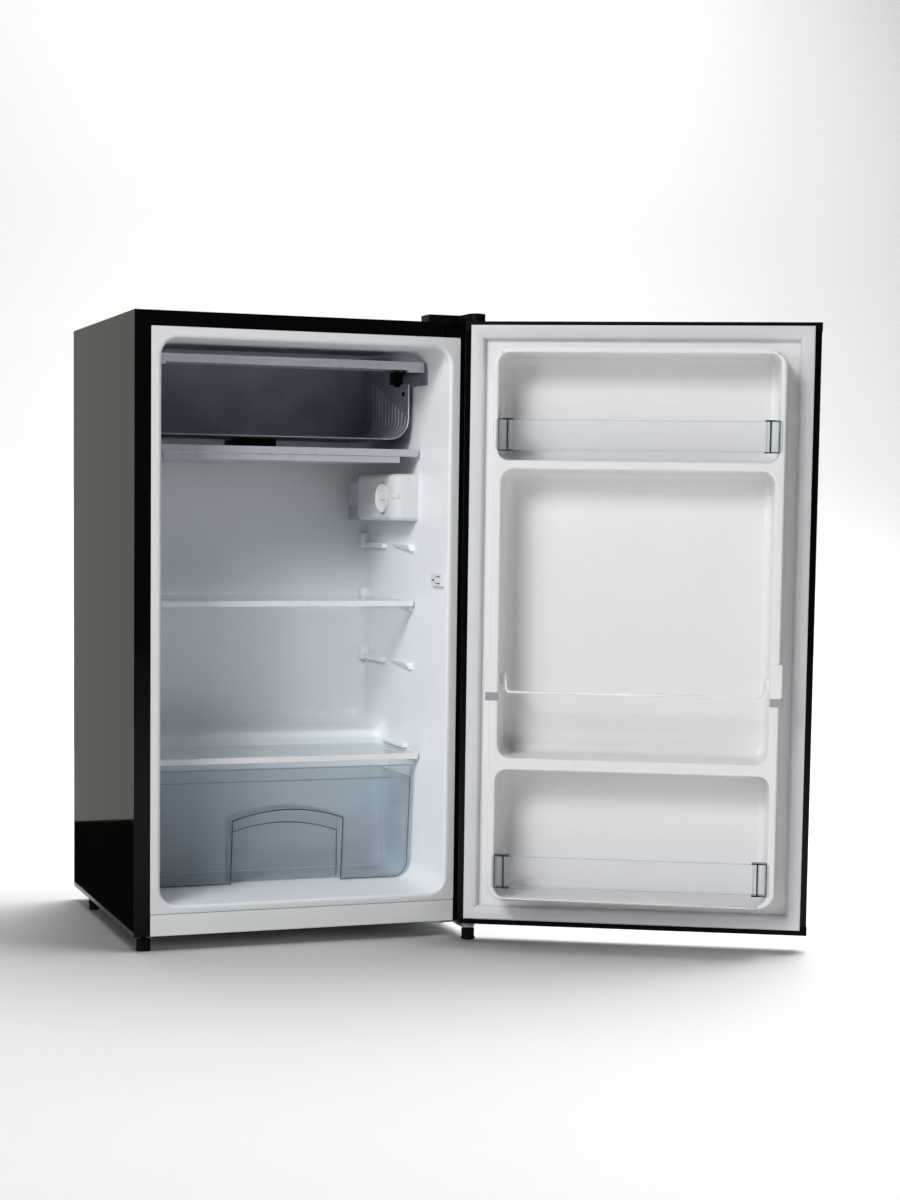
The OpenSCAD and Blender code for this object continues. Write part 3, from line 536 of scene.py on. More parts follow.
def dress_all():
    plan = [
        (GLOSS_BLACK, 0.4, ["outer_shell", "door_skin"]),
        (BACK_BLACK, 0.3, ["back_panel"]),
        (ZINC_SHEET, 0.3, ["bottom_panel", "compressor_bay_panel", "compressor_plate"]),
        (FOAM, 0.0, ["insulation_foam", "door_foam"]),
        (LINER, 0.5, ["inner_liner"]),
        (DOOR_WHITE, 0.5, ["door_liner"]),
        (STRIP_WHITE, 0.8, ["kick_strip"]),
        (WHITE, 0.6, ["tray_rails", "left_foot_socket", "switch_housing", "switch_button", "lamp_holder",
                      "wire_sockets"]),
        (WHITE, 0.6, ["thermostat_housing"]),
        (WHITE, 0.9, ["thermostat_knob", "shelf_trim", "cover_trim"]),
        (TRAY, 0.8, ["drip_tray"]),
        (FLAP, 0.8, ["freezer_flap"]),
        (GREY, 0.4, ["flap_brackets", "thermostat_body"]),
        (BLACK, 0.9, ["door_top_cap", "door_bottom_cap", "top_hinge_cover", "left_foot", "right_foot",
                      "rear_feet", "start_relay"]),
        (BLACK_RUBBER, 0.5, ["compressor_grommets", "cord_gland"]),
        (BLACK_FOAM, 1.0, ["pipe_sleeve"]),
        (VINYL, 0.8, ["door_gasket"]),
        (MAGNET, 0.2, ["gasket_magnets"]),
        (ALUMINIUM, 0.3, ["evaporator"]),
        (STEEL, 0.4, ["evaporator_screws", "hinge_screws", "top_hinge_bracket", "bottom_hinge_bracket"]),
        (COPPER, 0.0, ["refrigerant_pipes", "filter_drier"]),
        (COMPRESSOR, 0.8, ["compressor"]),
        (COIL, 0.0, ["condenser_coil"]),
        (GLASS, 0.5, ["shelf_glass", "cover_glass"]),
        (CRISPER, 1.0, ["crisper_bin"]),
        (CLEAR, 0.4, ["top_rack_bar", "bottom_rack_bar"]),
        (FROSTED, 0.8, ["lamp_cover"]),
        (LAMP_GLASS, 0.0, ["lamp_bulb"]),
        (NYLON, 0.4, ["hinge_washer", "door_bushes"]),
        (WIRE, 0.0, ["wire_rail"]),
    ]
    for mat, bevel, names in plan:
        for name in names:
            dress(name, mat, bevel)


dress_all()


# ---- the cabinet's formed inner liner ----

CORNER = 24.0
HUMP_R = 12.0
LIP = 5.0
FLANGE = 2.0


def liner_sizes():
    """The compartment's faces, read from the CAD pieces that stand in it."""
    flange = Box("inner_liner")
    return {
        "x": flange.x1 - 14, "z0": flange.z0 + 10, "z1": flange.z1 - 14,
        "rear": flange.y1 - FLANGE, "hump_y": Box("cover_glass").y1 + 2,
        "hump_z": Box("compressor_bay_panel").z1 + 37, "flange": flange,
    }


def liner_line(size, inset):
    """Floor, step, rear wall and ceiling as one line of (y, z), inset into the hollow."""
    r = CORNER
    inner = max(r - inset, 0.0)
    outer = HUMP_R + inset
    line = [(LIP, size["z0"] + inset)]
    for a in arc(8, -QUARTER, 0):
        line.append((size["hump_y"] - r + inner * math.cos(a), size["z0"] + r + inner * math.sin(a)))
    for a in arc(8, math.pi, QUARTER):
        line.append((size["hump_y"] + HUMP_R + outer * math.cos(a),
                     size["hump_z"] - HUMP_R + outer * math.sin(a)))
    for a in arc(8, -QUARTER, 0):
        line.append((size["rear"] - r + inner * math.cos(a), size["hump_z"] + r + inner * math.sin(a)))
    for a in arc(8, 0, QUARTER):
        line.append((size["rear"] - r + inner * math.cos(a), size["z1"] - r + inner * math.sin(a)))
    line.append((LIP, size["z1"] - inset))
    return line


def build_liner():
    size = liner_sizes()
    flange = size["flange"]
    bm = bmesh.new()
    rings = []
    for side in (-1, 1):
        angles = arc(8)
        if side < 0:
            angles = angles[::-1]
        for t in angles:
            x = side * (size["x"] - CORNER + CORNER * math.sin(t))
            rings.append([(x, y, z) for y, z in liner_line(size, CORNER * (1 - math.cos(t)))])
    made = loft(bm, rings, close=False)
    for ring in (made[0], made[-1]):
        bm.faces.new(ring)
    front = [[(x, FLANGE, z) for x, z in rounded(flange.x0, flange.x1, flange.z0, flange.z1, 2)],
             [(x, 0.6, z) for x, z in rounded(flange.x0, flange.x1, flange.z0, flange.z1, 2)],
             [(x, 0, z) for x, z in rounded(flange.x0 + 0.6, flange.x1 - 0.6,
                                            flange.z0 + 0.6, flange.z1 - 0.6, 2)]]
    for a in arc(6):
        grow = LIP * (1 - math.sin(a))
        y = LIP * (1 - math.cos(a))
        front.append([(x, y, z) for x, z in rounded(-size["x"] - grow, size["x"] + grow, size["z0"] - grow,
                                                    size["z1"] + grow, CORNER + grow)])
    loft(bm, front)
    obj = bm_object(bm, "formed_liner", LINER)
    thick = obj.modifiers.new("sheet", "SOLIDIFY")
    thick.thickness = 1.4 * MM
    thick.offset = 1.0
    smooth(obj)
    piece(obj, "cabinet", "white_liner", "inner_liner")


build_liner()


# ---- shelf ledges and wall details of the liner ----

def build_ledges():
    """Moulded supports for the shelf at three heights and for the crisper's cover, on both walls."""
    liner = liner_sizes()
    shelf, cover = Box("shelf_glass"), Box("cover_glass")
    pitch, rear_start, rear, guide_start = 84, 262, 362, 160
    bm = bmesh.new()
    for side in (-1, 1):
        wall, tip = side * (liner["x"] + 1.5), side * (liner["x"] - 7)
        lo, hi = min(wall, tip), max(wall, tip)
        stop = sorted((wall, side * (liner["x"] - 12)))
        for k in (-1, 0, 1):
            z = shelf.z0 - 0.2 + k * pitch
            wedge(bm, *sorted((wall, side * (liner["x"] - 10))), side, shelf.y0 + 4, shelf.y0 + 90, z)
            soft_box(bm, lo, hi, rear_start, rear - 3, z - 8, z, 2.2)
            soft_box(bm, *stop, shelf.y1 + 2, rear, z - 9, z + 14, 3.6, 6)
        soft_box(bm, lo, hi, cover.y0 + 3, cover.y1 + 3, cover.z0 - 5.2, cover.z0 - 0.2, 1.4)
        soft_box(bm, lo, hi, guide_start, cover.y1 + 2, cover.z1 + 2, cover.z1 + 8, 1.8)
    piece(smooth(bm_object(bm, "liner_ledges", LINER)), "cabinet", "white_liner")


def wedge(bm, x0, x1, side, y0, y1, z):
    """A ledge that tapers away downward and to the rear, with rounded edges."""
    made = add_box(bm, x0, x1, y0, y1, z - 10, z)
    for v in made:
        low, rear, inner = v.co.z < z - 1, v.co.y > y1 - 1, v.co.x * side < (x0 + x1) * side / 2
        if low and inner:
            v.co.x += side * 4.5
        if rear and inner:
            v.co.x += side * 4.5
        if low and rear:
            v.co.z += 5
    edges = list({e for v in made for e in v.link_edges})
    bmesh.ops.bevel(bm, geom=edges, offset=2.0, segments=4, profile=0.5, affect="EDGES")


build_ledges()


# ---- the door's formed liner, built shut and turned open ----

# each pocket: half width, lowest and highest point above the liner's lower edge, corner radius
POCKETS = ((182, 614, 753, 14), (177, 223, 602.5, 17), (179, 37, 207, 15))
DYKE_HALF = 190
RIM_OUT, RIM_IN, BASE_R, FLOOR_R = 3.0, 2.5, 5.0, 11.0


def grown(ring, grow, y):
    """A rounded rectangle of (half width, low, high, radius), grown outward, at depth y."""
    x1, z0, z1, r = ring
    return [(x, y, z) for x, z in rounded(-x1 - grow, x1 + grow, z0 - grow, z1 + grow, max(r + grow, 1.5), 8)]


def build_door_liner():
    base = Box("door_liner", SHUT)
    plate_y = Box("door_gasket", SHUT).y0
    dyke = (DYKE_HALF, base.z0 + 31, base.z1 - 26, 24)
    bm = bmesh.new()
    outer = [[(x, plate_y, z) for x, z in rounded(base.x0, base.x1, base.z0, base.z1, 1)]]
    for a in arc(5):
        outer.append(grown(dyke, BASE_R * (1 - math.sin(a)), plate_y + BASE_R * (1 - math.cos(a))))
    for a in arc(5):
        outer.append(grown(dyke, -1 - RIM_OUT * (1 - math.cos(a)), base.y1 - RIM_OUT + RIM_OUT * math.sin(a)))
    rims = [loft(bm, outer)[-1]]
    for half, low, high, r in POCKETS:
        pocket = (half, base.z0 + low, base.z0 + high, r)
        floor_y = base.y0 + 2
        rings = []
        for a in arc(5):
            rings.append(grown(pocket, RIM_IN * (1 - math.sin(a)), base.y1 - RIM_IN * (1 - math.cos(a))))
        for a in arc(7):
            rings.append(grown(pocket, -2 - FLOOR_R * (1 - math.cos(a)),
                               floor_y + FLOOR_R * (1 - math.sin(a))))
        made = loft(bm, rings)
        bm.faces.new(made[-1])
        rims.append(made[0])
    edges = []
    for rim in rims:
        for i, v in enumerate(rim):
            edges.append(bm.edges.get((v, rim[(i + 1) % len(rim)])))
    bmesh.ops.triangle_fill(bm, use_beauty=True, edges=edges, normal=(0, 1, 0))
    obj = bm_object(bm, "formed_door_liner", DOOR_WHITE, DOOR)
    thick = obj.modifiers.new("sheet", "SOLIDIFY")
    thick.thickness = 1.3 * MM
    thick.offset = 1.0
    smooth(obj)
    piece(obj, "door", "white_liner", "door_liner")
    return base


def build_rail_seats(base):
    """The small raised seats on the dyke beside the wire rail, and under them grey blocks of painted shade
    for the notches where the rail's holder clips in.
    """
    bm, clip = bmesh.new(), bmesh.new()
    z = Box("wire_rail", SHUT).z0
    for side in (-1, 1):
        lo, hi = sorted((side * (DYKE_HALF - 12.5), side * (DYKE_HALF + 2.6)))
        soft_box(bm, lo, hi, base.y1 - 18, base.y1 + 1.0, z + 1, z + 46, 1.8)
        # grey blocks of painted shade where the notches under the seats fall in shade
        lo, hi = sorted((side * (DYKE_HALF - 13), side * (DYKE_HALF + 4)))
        soft_box(clip, lo, hi, base.y1 - 13, base.y1 + 0.7, z - 9.5, z + 1.2, 0.8)
    piece(smooth(bm_object(bm, "rail_seats", DOOR_WHITE, DOOR)), "door", "white_liner")
    piece(smooth(bm_object(clip, "rail_seat_clips", SHADE_GREY, DOOR)), "door", "grey_plastic")


build_rail_seats(build_door_liner())


def build_gasket():
    """The magnetic door seal: a lip, a flat sealing face, a fold and a bellows, with mitred corners."""
    box = Box("door_gasket", SHUT)
    y0, y1 = box.y0, box.y1
    profile = [(0.8, y0), (0.0, y0 + 1.5), (0.0, y1 - 3.4), (0.5, y1 - 1.4), (1.8, y1 - 0.3), (3.2, y1),
               (9.6, y1), (10.6, y1 - 0.25), (11.2, y1 - 0.7), (11.8, y1 - 0.55), (14.0, y1 - 0.9),
               (16.4, y1 - 2.0), (18.0, y1 - 4.0), (18.8, y1 - 6.4), (19.0, y0 + 2.2), (18.4, y0)]
    bm = bmesh.new()
    rings = []
    for d, y in profile:
        x, a, b = box.x1 - d, box.z0 + d, box.z1 - d
        rings.append([(x, y, a), (x, y, b), (-x, y, b), (-x, y, a)])
    rings.append(rings[0])
    loft(bm, rings)
    obj = bm_object(bm, "magnetic_gasket", VINYL, DOOR)
    smooth(obj, 0.35, 2, 25)
    piece(obj, "door", "gasket_vinyl", "door_gasket")


build_gasket()


def build_wire():
    """The white wire rail across the middle pocket, with its hooked ends."""
    box = Box("wire_rail", SHUT)
    r = 1.75
    x, y, z = box.x1 - 9.5, box.y1 - r, box.z0 + r
    path = [(-x - 7, y - 16, z + 17), (-x - 3, y - 14, z + 26), (-x, y, z), (x, y, z),
            (x + 3, y - 14, z + 26), (x + 7, y - 16, z + 17)]
    obj = tube("bent_wire_rail", [path], r, WIRE, DOOR, bend=7, sides=16)
    piece(obj, "door", "coated_wire", "wire_rail")


build_wire()


def build_rack(node, name):
    """A clear retaining bar with thicker edges, held by a U-shaped clip at each end, with dark strips of
    painted shade along the clips' edges.
    """
    box = Box(node, SHUT)
    top = box.y1
    z0, z1 = box.z0 + 1, box.z1 - 1
    half = box.x1 - 3.5
    face = top - 5.5
    bar, rims, clips, lines = (bmesh.new() for _ in range(4))
    soft_box(bar, -half + 17, half - 17, face - 2.2, face, z0 + 0.8, z1 - 0.8, 0.6, 2)
    for z in (z0, z1 - 1.3):
        soft_box(rims, -half + 17, half - 17, face - 3.6, face + 0.5, z, z + 1.3, 0.4, 2)
    for side in (-1, 1):
        def span(a, b):
            return sorted((side * (half - a), side * (half - b)))
        soft_box(clips, *span(0.4, 18), top - 4.4, top - 2.8, z0 - 0.6, z1 + 0.6, 0.6, 2)
        soft_box(clips, *span(0.4, 2.4), top - 17.0, top - 3.2, z0 - 0.6, z1 + 0.6, 0.6, 2)
        soft_box(clips, *span(15.6, 17.4), top - 15.0, top - 3.2, z0 - 0.6, z1 + 0.6, 0.6, 2)
        soft_box(clips, *span(-3.5, 3.0), top - 1.8, top - 0.2, z0, z1, 0.6, 2)
        soft_box(clips, *span(9.0, 10.4), top - 3.2, top - 1.6, z0 + 1, z1 - 1, 0.4, 2)
        # dark strips of painted shade along the clips' edges
        for z in (z0 - 1, z1 - 0.6):
            soft_box(lines, *span(0, 19.5), top - 17.4, top - 2.4, z, z + 1.6, 0.5, 2)
        soft_box(lines, *span(10.6, 13.0), top - 4.8, top - 2.2, z0 - 1, z1 + 1, 0.6, 2)
        soft_box(lines, *span(6.0, 18.0), top - 4.8, top - 2.2, z1 - 0.6, z1 + 1.4, 0.5, 2)
        soft_box(lines, *span(8.0, 18.0), top - 4.8, top - 2.2, z0 - 1.2, z0 + 0.2, 0.5, 2)
        soft_box(lines, *span(-0.2, 0.9), top - 4.8, top - 2.2, z0 - 1, z1 + 1, 0.4, 2)
    piece(smooth(bm_object(lines, name + "_clip_edges", CLIP_EDGE_SHADE, DOOR)), "door", "clear_plastic")
    piece(smooth(bm_object(clips, name + "_clips", CLIP, DOOR)), "door", "clear_plastic")
    piece(smooth(bm_object(rims, name + "_rims", CLIP, DOOR)), "door", "clear_plastic")
    piece(smooth(bm_object(bar, name, CLEAR, DOOR)), "door", "clear_plastic", node)


build_rack("top_rack_bar", "clear_top_bar")
build_rack("bottom_rack_bar", "clear_bottom_bar")


# ---- the freezer box ----

def build_evaporator():
    """The folded aluminium freezer box with its raised channels and rolled front edge."""
    box = Box("evaporator")
    r, t, step = 30.0, 1.6, 33.0
    half, low, top = box.x1, box.z0, box.z1

    def section(inset, z_top):
        out = [(-half + inset, z_top)]
        for a in arc(10, math.pi, 1.5 * math.pi):
            out.append((-half + r + (r - inset) * math.cos(a), low + r + (r - inset) * math.sin(a)))
        for a in arc(10, 1.5 * math.pi, 2 * math.pi):
            out.append((half - r + (r - inset) * math.cos(a), low + r + (r - inset) * math.sin(a)))
        out.append((half - inset, z_top))
        return out

    bm = bmesh.new()
    for y0, y1, z_top in ((box.y0, box.y0 + 66, top - step), (box.y0 + 66, box.y1, top)):
        loop = section(0, z_top) + section(t, z_top)[::-1]
        made = loft(bm, [[(x, y, z) for x, z in loop] for y in (y0, y1)])
        for ring in (made[0], made[-1]):
            half_n = len(ring) // 2
            for i in range(half_n - 1):
                bm.faces.new((ring[i], ring[i + 1], ring[-i - 2], ring[-i - 1]))
    rear = [bm.verts.new((x, box.y1 - t, z)) for x, z in section(0.5, top)]
    bm.faces.new(rear)
    for side in (-1, 1):
        lo, hi = sorted((side * half, side * (half - 16)))
        soft_box(bm, lo, hi, box.y0 + 66, box.y1, top - t, top, 0.5, 1)
    obj = smooth(bm_object(bm, "freezer_box", ALUMINIUM))
    piece(obj, "cabinet", "aluminium", "evaporator")
    edge = [[(x, box.y0 + 0.6, z) for x, z in section(0.8, top - step)]]
    piece(tube("freezer_box_rim", edge, 1.3, BRIGHT_ALUMINIUM), "cabinet", "aluminium")
    channels = []
    for k in range(11):
        y = box.y0 + 12 + 14.5 * k
        rise = 4 + 5.2 * k
        for side in (-1, 1):
            path = [(side * (half - t), y, low + r + rise)]
            for a in arc(8, 0, -QUARTER):
                path.append((side * (half - r + (r - t) * math.cos(a)), y, low + r + (r - t) * math.sin(a)))
            path.append((side * (half - 42 - 3 * k), y, low + t))
            channels.append(path)
    piece(tube("freezer_box_channels", channels, 1.1, CHANNEL, bend=3), "cabinet", "aluminium")


build_evaporator()


def build_freezer_details():
    """The sensor's clamp on the freezer box's right wall and the blocks behind the flap's pivots."""
    box, bar = Box("evaporator"), Box("freezer_flap")
    bm = bmesh.new()
    lathe(bm, [(3.4, 0), (3.4, 1.4), (2.6, 2.2), (1.2, 2.2), (1.0, 1.2), (0, 1.2)],
          (box.x1 - 1.6, box.y0 + 20, box.z1 - 47), "X", 24)
    mirror_x(bm, box.x1 - 1.6)
    piece(smooth(bm_object(bm, "sensor_clamp", BLACK)), "cabinet", "black_plastic")
    bm = bmesh.new()
    for side in (-1, 1):
        lo, hi = sorted((side * (box.x1 - 12), side * (box.x1 + 0.2)))
        soft_box(bm, lo, hi, bar.y0 + 84, bar.y0 + 108, box.z1 - 33, box.z1 - 15, 0.8, 2)
        lo, hi = sorted((side * (box.x1 - 7), side * (box.x1 - 1.8)))
        soft_box(bm, lo, hi, bar.y0 + 88, bar.y0 + 104, box.z1 - 36, box.z1 - 31, 0.8, 2)
    piece(smooth(bm_object(bm, "hanger_blocks", BLACK)), "cabinet", "black_plastic")


build_freezer_details()


# ---- feet ----

FOOT_H = 15.5


def build_feet():
    """Screw feet with a chamfered, gripped rim and a dished underside, and the two fixed rear feet."""
    for node, body in (("left_foot", "left_leg"), ("right_foot", "right_leg")):
        box = Box(node)
        x, y = (box.x0 + box.x1) / 2, (box.y0 + box.y1) / 2
        r = (box.x1 - box.x0) / 2
        bm = bmesh.new()
        ridges = 24
        h = FOOT_H
        profile = [(r - 3.5, 0.9), (r - 2.6, 0.0), (r - 0.8, 0.0), (r, 0.9), (r, 3.0), (r - 0.9, 3.8),
                   (r - 0.6, h - 1.6), (r - 1.6, h - 0.4), (r - 3.0, h), (4.0, h)]
        for k in range(int((box.z1 - h - 0.6) / 1.25)):
            z = h + 0.2 + 1.25 * k
            profile += [(3.5, z), (4.0, z + 0.5), (4.0, z + 0.75), (3.5, z + 1.2)]
        profile.append((3.0, box.z1))
        lathe(bm, profile, (x, y, 0), "Z", ridges * 4)
        for v in bm.verts:
            d = Vector((v.co.x - x, v.co.y - y))
            if d.length > r - 1.2 and 3.4 < v.co.z < h - 0.6:
                wave = 0.5 - 0.5 * math.cos(ridges * math.atan2(d.y, d.x))
                v.co.x -= d.x / d.length * 0.7 * wave
                v.co.y -= d.y / d.length * 0.7 * wave
        piece(smooth(bm_object(bm, node + "_turned", BLACK)), body, "black_plastic", node)
    box = Box("rear_feet")
    bm = bmesh.new()
    for x in (box.x0 + 7.5, box.x1 - 7.5):
        lathe(bm, [(3, 1.2), (3.4, 0), (6.2, 0), (7.0, 0.8), (7.5, 4.5), (7.5, 17.0), (7.0, box.z1)],
              (x, (box.y0 + box.y1) / 2, 0), "Z", 40)
    piece(smooth(bm_object(bm, "rear_foot_pads", BLACK)), "cabinet", "black_plastic", "rear_feet")


build_feet()


# ---- crisper details ----

ARCH_X, ARCH_HALF, ARCH_R = 12, 80, 230


def build_crisper_rim():
    """Beads along the crisper's step and lip, and dark lines of painted shade along its corners and finger
    recess.
    """
    box = Box("crisper_bin")
    step = box.z0 + 145
    half = box.x1 - 2.5

    def front(z):
        return box.y0 + 15.7 - (z - box.z0) * 14 / 145

    glow = [[(-half, front(step) + 0.2, step), (half, front(step) + 0.2, step)]]
    for side in (-1, 1):
        glow.append([(side * half, box.y0 + 8, step - 0.9), (side * half, box.y1 - 4, step - 0.9)])
    piece(tube("crisper_step", glow, 0.9, CLEAR), "crisper", "clear_plastic")
    lip = [[(-half, box.y0 + 1.3, box.z1 - 0.9), (half, box.y0 + 1.3, box.z1 - 0.9)]]
    piece(tube("crisper_lip", lip, 0.8, CLIP), "crisper", "clear_plastic")
    spring, crown = box.z0 + 89.6, box.z0 + 104
    inner_y = box.y0 + 37.5
    legs, brow, edge = [], [], []
    for x in (ARCH_X - ARCH_HALF, ARCH_X + ARCH_HALF):
        legs.append([(x, front(box.z0 + 3), box.z0 + 3), (x, front(spring), spring)])
        legs.append([(x, inner_y, box.z0 + 3), (x, inner_y, spring - 22)])
    for drop, y in ((0, None), (22, inner_y)):
        line = []
        for i in range(25):
            x = ARCH_X - ARCH_HALF + 2 * ARCH_HALF * i / 24
            z = crown - ARCH_R + math.sqrt(ARCH_R ** 2 - (x - ARCH_X) ** 2) - drop
            line.append((x, front(z) if y is None else y, z))
        brow.append(line)
    # dark tubes of painted shade along the finger recess and the bin's lower corners
    piece(tube("crisper_recess_sides", legs, 0.75, CRISPER_EDGE_SHADE), "crisper", "clear_plastic")
    piece(tube("crisper_recess_brow", brow, 0.7, CRISPER_EDGE_SHADE), "crisper", "clear_plastic")
    low, r, x1 = box.z0 + 1.2, 19.0, box.x1 - 1.2
    for side in (-1, 1):
        corner = [(side * x1, front(step) + 1, step), (side * x1, front(low + r) + 1, low + r)]
        for t in arc(8)[1:]:
            corner.append((side * (x1 - r + r * math.cos(t)), front(low) + 1, low + r - r * math.sin(t)))
        corner.append((ARCH_X + side * ARCH_HALF, front(low) + 1, low))
        edge.append(corner)
    piece(tube("crisper_corner_edges", edge, 0.7, CRISPER_EDGE_SHADE), "crisper", "clear_plastic")


build_crisper_rim()


# ---- thermostat, its knob and the light switch ----

def plan(box, wall, front, rear, inset):
    """A wall box's outline from above: a large front corner and a smaller rear one."""
    out = [(wall, box.y0 + inset)]
    for t in arc(10, -QUARTER, -2 * QUARTER):
        out.append((box.x0 + front + (front - inset) * math.cos(t),
                    box.y0 + front + (front - inset) * math.sin(t)))
    for t in arc(6, 2 * QUARTER, QUARTER):
        out.append((box.x0 + rear + (rear - inset) * math.cos(t),
                    box.y1 - rear + (rear - inset) * math.sin(t)))
    out.append((wall, box.y1 - inset))
    return out


def build_thermostat():
    """The rounded housing, with a pointer tab on its front corner and a screw under the dial."""
    box, knob = Box("thermostat_housing"), Box("thermostat_knob")
    y, z = (knob.y0 + knob.y1) / 2, (knob.z0 + knob.z1) / 2
    bm = bmesh.new()
    rings = []
    r = 7.0
    for t in arc(7):
        rings.append((box.z0 + r - r * math.sin(QUARTER - t), r * (1 - math.cos(QUARTER - t))))
    for t in arc(7):
        rings.append((box.z1 - r + r * math.sin(t), r * (1 - math.cos(t))))
    rings[0] = (box.z0, r * 0.98)
    wall, front_r, rear_r, most = box.x1 + 0.4, 22, 7.5, 5.5
    made = loft(bm, [[(px, py, h) for px, py in plan(box, wall, front_r, rear_r, min(d, most))]
                     for h, d in rings])
    for ring in (made[0], made[-1]):
        bm.faces.new(ring)
    obj = smooth(bm_object(bm, "thermostat_shell", HOUSING), 0.5, 2, 60)
    piece(obj, "cabinet", "white_plastic", "thermostat_housing")
    bm = bmesh.new()
    soft_box(bm, -7, 7, -1.6, 1.6, -4.5, 4.5, 1.5, 3)
    for v in bm.verts:
        if v.co.z > 0:
            v.co.x *= 0.8
            v.co.z -= 0.05 * v.co.x ** 2
    turn = Matrix.Translation((box.x0 + 6.2, box.y0 + 6.6, z + 4)) @ Matrix.Rotation(-QUARTER / 2, 4, "Z")
    bm.transform(turn)
    soft_box(bm, box.x0 - 0.9, box.x0 + 1.0, y + 24, y + 31, z - 18, z - 11, 0.8, 3)
    piece(smooth(bm_object(bm, "thermostat_tab", HOUSING)), "cabinet", "white_plastic")


build_thermostat()


def build_switch_recess_shade():
    """Painted shade: black plates on the floor of the light switch's recess, open round the button, and a
    black strip for the slot beside it.
    """
    box = Box("switch_housing")
    middle_z = (box.z0 + box.z1) / 2
    bm = bmesh.new()
    button = Box("switch_button")
    reach, gap = 5.4, 0.5
    well_y = (box.y0 + 5.1, box.y0 + 20.9)
    well_z = (middle_z - reach, middle_z + reach)
    # black plates of painted shade on the recess floor, round the button
    for span_y, span_z in (((well_y[0], button.y0 - gap), well_z), ((button.y1 + gap, well_y[1]), well_z),
                           (well_y, (well_z[0], button.z0 - gap)), (well_y, (button.z1 + gap, well_z[1]))):
        soft_box(bm, box.x1 - 1.6, box.x1 - 0.7, *span_y, *span_z, 0.3, 2)
    soft_box(bm, box.x0 - 0.15, box.x0 + 0.6, box.y0 + 26, box.y0 + 36,
             middle_z - 1.4, middle_z + 0.6, 0.3, 2)
    piece(smooth(bm_object(bm, "switch_well", BLACK)), "cabinet", "black_plastic")


build_switch_recess_shade()


def build_knob():
    """A round dial with a waisted grip bar and a pointer ridge, its collar and a grey ring of painted shadow
    in the gap round it.
    """
    box = Box("thermostat_knob")
    y, z = (box.y0 + box.y1) / 2, (box.z0 + box.z1) / 2
    r = (box.z1 - box.z0) / 2
    x0, depth = box.x0, 14.0
    bm = bmesh.new()
    lathe(bm, [(r - 3, 0), (r, 0), (r, 2.4), (r - 0.8, 3.6), (r - 2.4, 4.0), (r - 5, 3.4), (2, 3.2)],
          (x0 + depth + 1, y, z), "X", 64)
    mirror_x(bm, x0 + depth + 1)
    steps = 16
    rings = []
    for i in range(2 * steps + 1):
        t = i / steps - 1
        wide = 3.2 + 3.4 * t ** 4 + 1.2 * max(t - 0.6, 0.0)
        high = depth - 3.0 - 6.0 * abs(t) ** 3
        ring = []
        for angle in arc(steps, 0.0, math.pi):
            ring.append((x0 + depth - 1 - high * math.sin(angle) ** 0.55, y + wide * math.cos(angle),
                         z + t * (r - 1.6)))
        rings.append(ring)
    ends = loft(bm, rings)
    for ring in (ends[0], ends[-1]):
        bm.faces.new(ring)
    soft_box(bm, x0 + 8, x0 + depth - 1, y - 15, y - 4, z - 2, z + 2, 0.8)
    obj = bm_object(bm, "dial_knob", HOUSING)
    smooth(obj, 0.4, 2, 50)
    piece(obj, "knob", "knob_plastic", "thermostat_knob")
    collar = bmesh.new()
    face = Box("thermostat_housing").x0
    lathe(collar, [(r + 1.2, -1.5), (r + 1.2, 0.9), (r + 2.0, 1.3), (r + 2.8, 0.9), (r + 2.8, -1.5)],
          (face, y, z), "X", 64)
    mirror_x(collar, face)
    piece(smooth(bm_object(collar, "dial_collar", HOUSING)), "cabinet", "white_plastic")
    # a grey ring of painted shadow laid on the housing round the dial
    gap = bmesh.new()
    lathe(gap, [(r - 2.0, -0.6), (r - 2.0, 0.25), (r + 1.5, 0.25), (r + 1.5, -0.6)], (face, y, z), "X", 64)
    mirror_x(gap, face)
    piece(smooth(bm_object(gap, "dial_gap", GREY)), "cabinet", "grey_plastic")


build_knob()


# ---- floor, light and camera ----

def area(name, at, target, size, power, only=(), without=()):
    """A soft rectangular light, which can be flagged off some objects or kept to them."""
    light = bpy.data.lights.new(name, "AREA")
    light.shape = "RECTANGLE"
    light.size, light.size_y = size
    light.energy = power
    obj = bpy.data.objects.new(name, light)
    SCENE.collection.objects.link(obj)
    obj.location = at
    obj.rotation_euler = (Vector(target) - Vector(at)).to_track_quat("-Z", "Y").to_euler()
    if only or without:
        lit = bpy.data.collections.new(name + "_flags")
        for other in only or without:
            lit.objects.link(bpy.data.objects[other])
        for entry in lit.collection_objects:
            entry.light_linking.link_state = "INCLUDE" if only else "EXCLUDE"
        obj.light_linking.receiver_collection = lit


def build_world():
    world = bpy.data.worlds.new("studio")
    SCENE.world = world
    world.use_nodes = True
    background = world.node_tree.nodes["Background"]
    background.inputs["Color"].default_value = (1.0, 1.0, 1.0, 1)
    background.inputs["Strength"].default_value = 0.10


FLOOR_BACK, SWEEP_R = 2600, 1500


